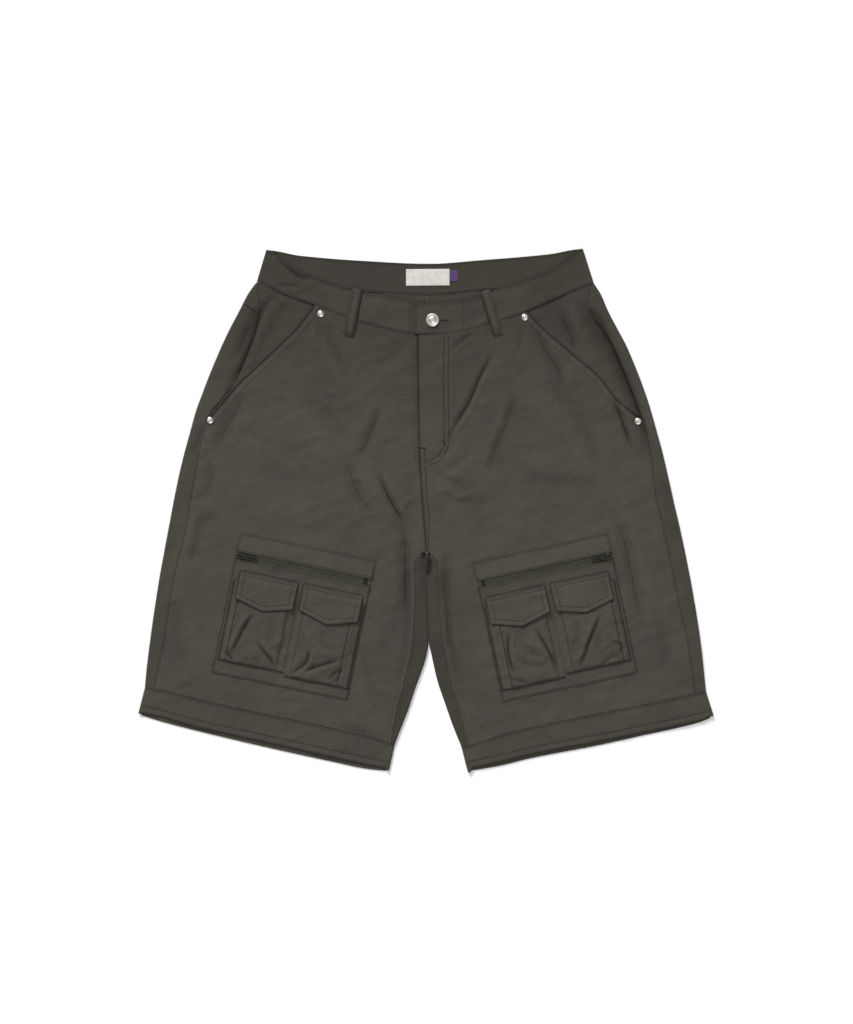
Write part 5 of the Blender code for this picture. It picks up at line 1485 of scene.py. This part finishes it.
def placeCopy(model, name, material, place, turn=0.0, droop=0.0, body="garment"):
    # a copy of a piece that was modelled at the origin, with its own mesh and its place in mm in that mesh
    piece = addObject(name, model.data.copy())
    piece.data.name = name
    turned = Matrix.Rotation(turn, 4, "Z") @ Matrix.Rotation(droop, 4, "Y")
    piece.data.transform(Matrix.Translation(Vector(place) * mm) @ turned)
    piece.data.materials.clear()
    piece.data.materials.append(material)
    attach(piece, body)
    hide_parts(nodeName(name))


def applied(name):
    # the primitive that was just added, with its place and size in its mesh
    piece = bpy.context.object
    piece.name = name
    bpy.ops.object.transform_apply(location=True, rotation=True, scale=True)
    return piece


def disc(name, radius, height, steps, place=(0, 0, 0)):
    # its middle is half its height above its place
    x, y, z = place
    bpy.ops.mesh.primitive_cylinder_add(vertices=steps, radius=radius * mm, depth=height * mm,
                                        location=(x * mm, y * mm, (z + height / 2) * mm))
    return applied(name)


def bar(name, size, middle):
    bpy.ops.mesh.primitive_cube_add(size=1.0, location=[v * mm for v in middle])
    bpy.context.object.scale = [v * mm for v in size]
    return applied(name)


def insetTop(piece, steps):
    # turns the flat top of a disc into rings; each step is how far in and how far up in mm
    inEdit(piece)
    pick(piece, "FACE", lambda spot, normal: normal.z > 0.9)
    for inward, up in steps:
        bpy.ops.mesh.inset(thickness=inward * mm, depth=up * mm)
    return outOfEdit(piece, 50)


def makeTackButton():
    look = tackButton
    cap = disc("tackButtonModel", look["radius"], look["height"] - 0.6, 72)
    insetTop(cap, [(0.55, 0.5), (look["radius"] - 0.55 - look["rim"], 0.1),
                   (look["rim"] - look["well"] - 1.1, -0.15), (0.5, -look["sunk"]), (0.6, 0),
                   (look["well"] - 1.1 - look["domeRadius"], 0), (0.9, look["domeHeight"]), (1.0, 0.2)])
    roundEdges(cap, 0.18, 30)
    bpy.ops.mesh.primitive_ico_sphere_add(subdivisions=2, radius=look["dotSize"] * mm,
                                          location=(look["dotRing"] * mm, 0, (look["height"] - 0.22) * mm))
    dots = [applied("dot")]
    bpy.ops.object.shade_smooth()
    for k in range(1, look["dots"]):
        dots.append(addObject("dot", dots[0].data.copy()))
        dots[-1].data.transform(Matrix.Rotation(2 * math.pi * k / look["dots"], 4, "Z"))
    return joinInto(cap, dots)


def makeRivet():
    look = rivet
    head = disc("rivetModel", look["radius"], look["flange"], 48)
    insetTop(head, [(0.5, 0.5), (look["radius"] - 0.5 - look["flat"], 0.3), (0.35, -0.15),
                    (look["flat"] - 0.35 - look["nub"], 0), (0.3, look["nubRise"]), (0.4, 0.12)])
    return roundEdges(head, 0.12, 30)


def makeSlider():
    look = zipSlider
    length, height = look["length"], look["height"]
    body = bar("sliderModel", (length, look["width"], height), (0, 0, height / 2))
    inEdit(body)
    bpy.ops.mesh.subdivide(number_cuts=5)
    for share in np.linspace(0, 1, 7):    # wide where the coils part and narrow where they leave it closed
        at = (share - 0.5) * length
        narrow = 1 - look["nose"] * float(ease(share * 1.5 - 0.45))
        reshape(body, lambda spot, normal: abs(spot.x - at) < 0.1, (1, narrow, 1))
    pick(body, "FACE", lambda spot, normal: abs(normal.y) > 0.7 and 0.3 * height < spot.z < 0.62 * height)
    bpy.ops.mesh.inset(thickness=0.12 * mm, depth=-0.8 * mm)
    outOfEdit(body)
    roundEdges(body, 0.3, 50)
    bridgeLength, _, bridgeHeight = look["bridge"]
    bridge = bar("bridge", look["bridge"], (0, 0, height + bridgeHeight / 2 - 0.1))
    inEdit(bridge)
    bpy.ops.mesh.subdivide(number_cuts=8)
    for share in np.linspace(0, 1, 5)[1:]:    # it is bent from one strip, so its ends curve down to the slider
        edge = bridgeLength / 2 * (share + 0.01)
        before = bridgeLength / 2 * (share - 0.24)
        low = 1 - look["bridgeDrop"] * share**4 / bridgeHeight
        reshape(bridge, lambda spot, normal: before < abs(spot.x) < edge, (1, 1, low), (0, 0, height))
    half, ceiling = bridgeLength / 2 - look["bridgeWall"], height + bridgeHeight - look["bridgeWall"]
    pick(bridge, "FACE", lambda spot, normal: abs(spot.x) < half and spot.z < ceiling and abs(normal.x) < 0.3)
    bpy.ops.mesh.delete(type="FACE")    # the opening that the pull tab's eye hangs in
    bpy.ops.mesh.select_mode(type="EDGE")
    bpy.ops.mesh.select_non_manifold(extend=False, use_wire=False, use_boundary=True, use_multi_face=False,
                                     use_non_contiguous=False, use_verts=False)
    bpy.ops.mesh.bridge_edge_loops()
    outOfEdit(bridge)
    return joinInto(body, [bridge])


def makePull():
    look = pullTab
    length, width, thick = look["length"], look["width"], look["thick"]
    tab = bar("pullModel", (length, width, thick), (length / 2 - look["bar"] / 2, 0, 0))
    inEdit(tab)
    bpy.ops.mesh.subdivide(number_cuts=9)
    for share in np.linspace(0, 1, 11):    # waisted behind the eye, and rounded at its end
        at = share * length - look["bar"] / 2
        narrow = 1 - 0.12 * math.exp(-(((share - 0.36) / 0.1) ** 2))
        narrow -= 0.45 * max(0.0, (share - 0.9) / 0.1) ** 2
        reshape(tab, lambda spot, normal: abs(spot.x - at) < 0.1, (1, narrow, 1))
    outOfEdit(tab)
    eye = look["window"], width - 2 * look["arm"], 4 * thick
    cutters = [bar("eye", eye, ((look["bar"] + look["window"]) / 2, 0, 0))]
    for k in range(look["ribs"]):    # grooves pressed into the grip, and a hole near its end
        cutters.append(bar("groove", (0.7, width - 2.6, 0.5), (9.2 + 1.7 * k, 0, thick / 2 + 0.05)))
    cutters.append(disc("hole", 0.95, 4 * thick, 24, (length - 3.1, 0, -2 * thick)))
    for cutter in cutters:
        setActive(tab)
        cut = tab.modifiers.new("cut", "BOOLEAN")
        cut.operation = "DIFFERENCE"
        cut.solver = "EXACT"
        cut.object = cutter
        bpy.ops.object.modifier_apply(modifier="cut")
        bpy.data.objects.remove(cutter, do_unlink=True)
    return roundEdges(tab, 0.14, 50)


def makeStop():
    stop = bar("stopModel", zipStop, (0, 0, zipStop[2] / 2))
    inEdit(stop)
    bpy.ops.mesh.subdivide(number_cuts=2)
    pick(stop, "FACE", lambda spot, normal: normal.z > 0.9 and abs(spot.x) < 1.0)
    bpy.ops.mesh.inset(thickness=0.2 * mm, depth=-0.45 * mm)
    outOfEdit(stop)
    return roundEdges(stop, 0.3, 50, 3)


def placeZipMetal(side, slider, pull, stop):
    base = zipSlider["base"]
    along, _ = cargoAxes(side)
    turn = math.atan2(along[1], along[0])
    x, y = cargoPoint(side, zipEnds["slider"], zipLine)
    placeCopy(slider, "zipSlider" + side, zipMetalFinish, (x, y, base), turn)
    placeCopy(pull, "zipPull" + side, zipMetalFinish, (x, y, base + zipSlider["height"] + pullTab["axis"]),
              turn, math.radians(pullTab["droop"]), "pull_" + side.lower())
    x, y = cargoPoint(side, zipEnds["stop"], zipLine)
    placeCopy(stop, "zipStop" + side, zipMetalFinish, (x, y, base), turn)


models = [makeTackButton(), makeRivet(), makeSlider(), makePull(), makeStop()]
for side in sides:
    placeZipMetal(side, *models[2:])
placeCopy(models[0], "tackButton", nickelFinish, (*buttonSpot, tackButton["base"]))
for rivetName, spot in rivetSpots.items():
    placeCopy(models[1], rivetName, nickelFinish, (*spot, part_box(nodeName(rivetName))[0].z / mm))
for model in models:
    bpy.data.objects.remove(model, do_unlink=True)
print("metal placed")

# lockstitch in a thread drawn 0.6 mm thick so that it shows; bar tacks and the buttonhole are dense stitches
sewing = {"pitch": 3.0, "length": 2.35, "thick": 0.6, "sunk": 0.08, "tackPitch": 0.62, "tackLength": 2.2,
          "tackUp": 0.3, "slack": 0.12, "steepest": 1.6}
teeth = {"pitch": 1.5, "length": 3.9, "thick": 0.85, "first": 14, "last": 168, "stagger": 0.5, "lift": 0.25}


def surface():
    # the cloth's outer faces as one thing to find heights on, and which sheet each face is of
    corners, faces, names, start = [], [], [], 0
    for name, points, quads in topFaces:
        corners.extend((points * mm).tolist())
        faces.extend((quads + start).tolist())
        names.extend([name] * len(quads))
        start += len(points)
    return BVHTree.FromPolygons(corners, faces), names


clothTree, clothNames = surface()
down = Vector((0, 0, -1))


def onCloth(x, y, allowed):
    # the height of the cloth that shows here in mm, or nothing if another piece covers it
    spot, _, face, _ = clothTree.ray_cast(Vector((x * mm, y * mm, 0.06)), down)
    if spot is None or not clothNames[face].startswith(allowed):
        return None
    return spot.z / mm


def offsetLine(line, shift):
    # a line beside another, to its left where the shift is positive
    line = smoothLine(np.asarray(line, float), 60)
    run = np.gradient(line, axis=0)
    run /= np.linalg.norm(run, axis=1)[:, None]
    return line + np.stack([-run[:, 1], run[:, 0]], axis=1) * shift


def oneStitch(name, length, thick, corners):
    # a short rounded bar along X, modelled once and copied
    bpy.ops.mesh.primitive_cylinder_add(vertices=corners, radius=thick / 2 * mm, depth=length * mm,
                                        end_fill_type="TRIFAN", rotation=(0, math.pi / 2, 0))
    piece = applied(name)
    inEdit(piece)
    for place in (0.3 * length * mm, -0.3 * length * mm):
        bpy.ops.mesh.select_all(action="SELECT")
        bpy.ops.mesh.bisect(plane_co=(place, 0, 0), plane_no=(1, 0, 0))
    # its ends dive into the cloth
    reshape(piece, lambda spot, normal: abs(spot.x) > 0.4 * length, (1, 0.55, 1), move=(0, 0, -0.7 * thick))
    outOfEdit(piece, 60)
    points = np.array([vert.co for vert in piece.data.vertices]) / mm
    faces = [tuple(face.vertices) for face in piece.data.polygons]
    bpy.data.objects.remove(piece, do_unlink=True)
    return points, faces


def copies(name, model, places, material):
    # one piece made of copies of a small mesh; a place is a middle, a direction and a size
    points, faces = model
    allPoints, allFaces = [], []
    for middle, along, size in places:
        along = along / np.linalg.norm(along)
        across = np.array([-along[1], along[0], 0.0])
        across /= np.linalg.norm(across)
        turned = np.outer(points[:, 0] * size, along) + np.outer(points[:, 1], across)
        turned = turned + np.outer(points[:, 2], np.cross(along, across)) + middle
        start = len(allPoints) * len(points)
        allFaces.extend(tuple(v + start for v in face) for face in faces)
        allPoints.append(turned)
    mesh = bpy.data.meshes.new(name)
    mesh.from_pydata((np.vstack(allPoints) * mm).tolist(), [], allFaces)
    mesh.materials.append(material)
    mesh.shade_smooth()
    piece = addObject(name, mesh)
    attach(piece, "garment")
    print(f"  {name}: {len(places)} copies, {len(allFaces)} faces")


def stitchPlaces(line, allowed, seed):
    # places for the stitches of one line, each laid on the cloth from end to end
    pitch, length = sewing["pitch"], sewing["length"]
    line = np.asarray(line, float)
    run = runAlong(line)
    draw = np.random.default_rng(seed)
    found = []
    for at in np.arange(pitch / 2, run[-1] - pitch / 3, pitch):
        at = at + draw.uniform(-1, 1) * sewing["slack"]
        spots = []
        for end in (at - length * 0.36, at + length * 0.36):
            x, y = np.interp(end, run, line[:, 0]), np.interp(end, run, line[:, 1])
            height = onCloth(x, y, allowed)
            if height is not None:
                spots.append(np.array([x, y, height]))
        if len(spots) == 2 and abs(spots[1][2] - spots[0][2]) < sewing["steepest"]:
            middle = (spots[0] + spots[1]) / 2 + np.array([0, 0, sewing["thick"] / 2 - sewing["sunk"]])
            found.append((middle, spots[1] - spots[0], 1.0))
    return found


def tackPlaces(start, end, allowed, seed):
    # a dense row of stitches that lie across a short line
    start, end = np.asarray(start, float), np.asarray(end, float)
    length = np.linalg.norm(end - start)
    along = (end - start) / length
    across = np.array([-along[1], along[0], 0.0])
    draw = np.random.default_rng(seed)
    found = []
    for at in np.arange(0, length, sewing["tackPitch"]):
        x, y = start + along * at
        height = onCloth(x, y, allowed)
        if height is not None:
            lean = np.array([along[0], along[1], 0.0]) * draw.uniform(-0.12, 0.12)
            size = sewing["tackLength"] / sewing["length"]
            found.append((np.array([x, y, height + sewing["tackUp"]]), across + lean, size))
    return found


def cargoLine(side, start, end, count=12):
    s, t = np.linspace(start[0], end[0], count), np.linspace(start[1], end[1], count)
    return np.stack(cargoPoint(side, s, t), axis=1)


def between(*pair):
    return np.linspace(*pair, 12)


def waistSewing():
    runs = []
    for side in sides:
        table = frontWaist[side]
        x = np.linspace(table[0].x, table[-1].x, 40)
        for edge, shift in (("top", -2.2), ("seam", 2.0)):
            runs.append((edgeLine(table, edge, x, shift), "waistbandFront" + side, 1))
        for away, seed in ((1.9, 2), (8.2, 3)):
            runs.append((offsetLine(seamLines["mouth" + side], away * sign[side]), "frontPanel" + side, seed))
    x = np.linspace(-205, 205, 60)
    for edge, shift in (("top", -2.4), ("seam", 2.2)):
        runs.append((edgeLine(backWaist, edge, x, shift), "waistbandBack", 4))
    for start, end, piece, seed in (    # the ends of the underlap, fly facing and overlap, and the seat seam
        ((-22, 267), (-22, 232), "waistbandFrontRight", 5),
        ((-17.5, 267), (-17.5, 232), "waistbandFrontRight", 5),
        ((-12.6, 268), (-12.6, 232), "waistbandFrontLeft", 6),
        ((48, 270), (48, 235), "waistbandFrontLeft", 7),
        ((4.5, 282), (4.5, 268), "backPanel", 8), ((14.3, 282), (14.3, 268), "backPanel", 8),
    ):
        runs.append((between(start, end), piece, seed))
    for name in ("flyInner", "flyOuter", "centreOuter"):
        runs.append((smoothLine(seamLines[name], 80), "frontPanelLeft", 9))
    runs.append((offsetLine(seamLines["centre"], 1.9), "frontPanelLeft", 10))
    for side in sides:
        top, bottom, _, down, across = loopAxes(side)
        for shift in (-beltLoop["stitches"], beltLoop["stitches"]):
            line = between(top + across * shift, bottom - down * 3 + across * shift)
            runs.append((line, "beltLoop" + side, 22))
    return [place for run in runs for place in stitchPlaces(*run)]


def tacks():
    found = []
    hip = "hipFacing", "backPanel", "frontPanel"
    for start, end, allowed in (
        ((-8.5, 82), (0.5, 81), "frontPanelLeft"), ((18, 247.6), (29.5, 248), "waistbandFrontLeft"),
        ((-235, 268.5), (-221, 258), hip), ((213, 263.5), (227, 249), hip),
        ((22, 93), (25.5, 85), "frontPanelLeft"),
    ):
        found += tackPlaces(start, end, allowed, 20)
    for side in sides:
        _, bottom, _, down, across = loopAxes(side)
        foot = bottom - down * 2.2
        found += tackPlaces(foot - across * 5.2, foot + across * 5.2, "beltLoop" + side, 21)
    return found


def hemSewing(side):
    table, piece = hemLine[side], "hemBand" + side
    x = np.linspace(table[0].x, table[-1].x, 60)
    found = stitchPlaces(edgeLine(table, "seam", x, -2.2), piece, 30)
    return found + stitchPlaces(edgeLine(table, "front", x, 8), piece, 31)


def cargoSewing(side):
    look = cargo
    found = []
    strip, patch = "cargoTopStrip" + side, "cargoPatch" + side
    inner, far, foot = 1.9, cargoWidth - 1.9, cargoHeight - 1.9
    zipTop, zipBottom, end = look["zipTop"], look["zipBottom"], cargoWidth - 1
    for first, last, allowed in (
        ((inner, 1), (inner, zipTop), strip), ((far, 1), (far, zipTop), strip),
        ((1, inner), (end, inner), strip), ((1, zipTop - 2.4), (end, zipTop - 2.4), strip),
        ((1, zipBottom + 2.4), (end, zipBottom + 2.4), patch),
        ((inner, zipBottom), (inner, foot), patch), ((far, zipBottom), (far, foot), patch),
        ((inner, foot), (far, foot), patch),
    ):
        found += stitchPlaces(cargoLine(side, first, last), allowed, 40)
    for bag in bags:
        for s in (bag.foldStart + look["hem"], bag.foldEnd - look["hem"]):
            line = cargoLine(side, (s, look["flapTop"]), (s, bag.bottom - 8), 20)
            found += stitchPlaces(line, "bag" + bag.name + side, 41)
    for flap in flaps:
        allowed, top = "flap" + flap.name + side, look["flapTop"]
        for line in flapLines(flap, look["flapInset"]):
            found += stitchPlaces(cargoLine(side, *line), allowed, 42)
        for t in (top + 1.8, top + look["flapInset"] * 0.8):
            found += stitchPlaces(cargoLine(side, (flap.start + 1, t), (flap.end - 1, t)), allowed, 43)
    return found


def coilPlaces(side):
    found = []
    _, ahead = cargoAxes(side)
    for k, s in enumerate(np.arange(teeth["first"], teeth["last"], teeth["pitch"])):
        x, y = cargoPoint(side, s, zipLine + (teeth["stagger"] if k % 2 else -teeth["stagger"]))
        height = float(frontHeight(x, y)) + cargo["rest"] + cargo["tapeUp"] + teeth["lift"]
        found.append((np.array([x, y, height]), np.array([ahead[0], ahead[1], 0.0]), 1.0))
    return found


stitch = oneStitch("stitch", sewing["length"], sewing["thick"], 5)
tooth = oneStitch("coilTooth", teeth["length"], teeth["thick"], 8)
copies("waistSewing", stitch, waistSewing(), threadFinish)
copies("barTacks", stitch, tacks(), threadFinish)
for side in sides:
    copies("hemSewing" + side, stitch, hemSewing(side), threadFinish)
    copies("cargoSewing" + side, stitch, cargoSewing(side), threadFinish)
    copies("zipCoil" + side, tooth, coilPlaces(side), coilFinish)
print("sewing done")

studio = {
    "floorColour": "#FAFAFA",
    "floorSize": 12.0,
    "cameraHeight": 3.0,
    "frameHeight": 1.3312,    # what the photograph's 1024 rows span, in metres
    "aim": (0.00065, -0.0016),
    "world": 0.36,
}


def addFloor():
    bpy.ops.mesh.primitive_plane_add(size=studio["floorSize"], location=(0, 0, -0.4 * mm))
    floor = bpy.context.object
    floor.name = "floor"
    material, tree, inMm = newMaterial("matt white paper floor")
    grain = noise(tree, inMm, 100 / 9, 3.0)
    bumped = addNode(tree, "Bump", {"Strength": 0.03, "Distance": 0.3 * mm}, {"Height": (grain, "Fac")})
    shader = addNode(tree, "BsdfPrincipled", {"Base Color": linear(studio["floorColour"]), "Roughness": 0.9},
                     {"Normal": (bumped, "Normal")})
    floor.data.materials.append(finishMaterial(material, tree, shader))


def addSoftbox(name, turn, height, away, size, power):
    # a square of light that faces the middle; turn and height are in degrees, turn 0 lies beyond the waist
    turn, height = math.radians(turn), math.radians(height)
    light = bpy.data.lights.new(name, "AREA")
    light.shape = "SQUARE"
    light.size = size
    light.energy = power
    box = addObject(name, light)
    flat = away * math.cos(height)
    box.location = -math.sin(turn) * flat, math.cos(turn) * flat, away * math.sin(height)
    box.rotation_euler = (-box.location).to_track_quat("-Z", "Y").to_euler()


def addCamera():
    camera = bpy.data.cameras.new("camera")
    camera.sensor_width = 36
    camera.lens = camera.sensor_width * (studio["cameraHeight"] - 0.006) / studio["frameHeight"]
    shot = addObject("camera", camera)
    shot.location = (*studio["aim"], studio["cameraHeight"])
    bpy.context.scene.camera = shot


addFloor()
addSoftbox("windowSoftbox", 22, 38, 8.0, 3.2, 622)
addSoftbox("fillSoftbox", 195, 52, 7.0, 4.0, 150)
addSoftbox("overheadSoftbox", 0, 89.9, 4.2, 1.8, 9)
addCamera()
world = bpy.data.worlds.new("studio")
bpy.context.scene.world = world
world.use_nodes = True
world.node_tree.nodes["Background"].inputs["Color"].default_value = (1, 1, 1, 1)
world.node_tree.nodes["Background"].inputs["Strength"].default_value = studio["world"]
bpy.context.scene.view_settings.view_transform = "Standard"
print("floor, lights and camera set")
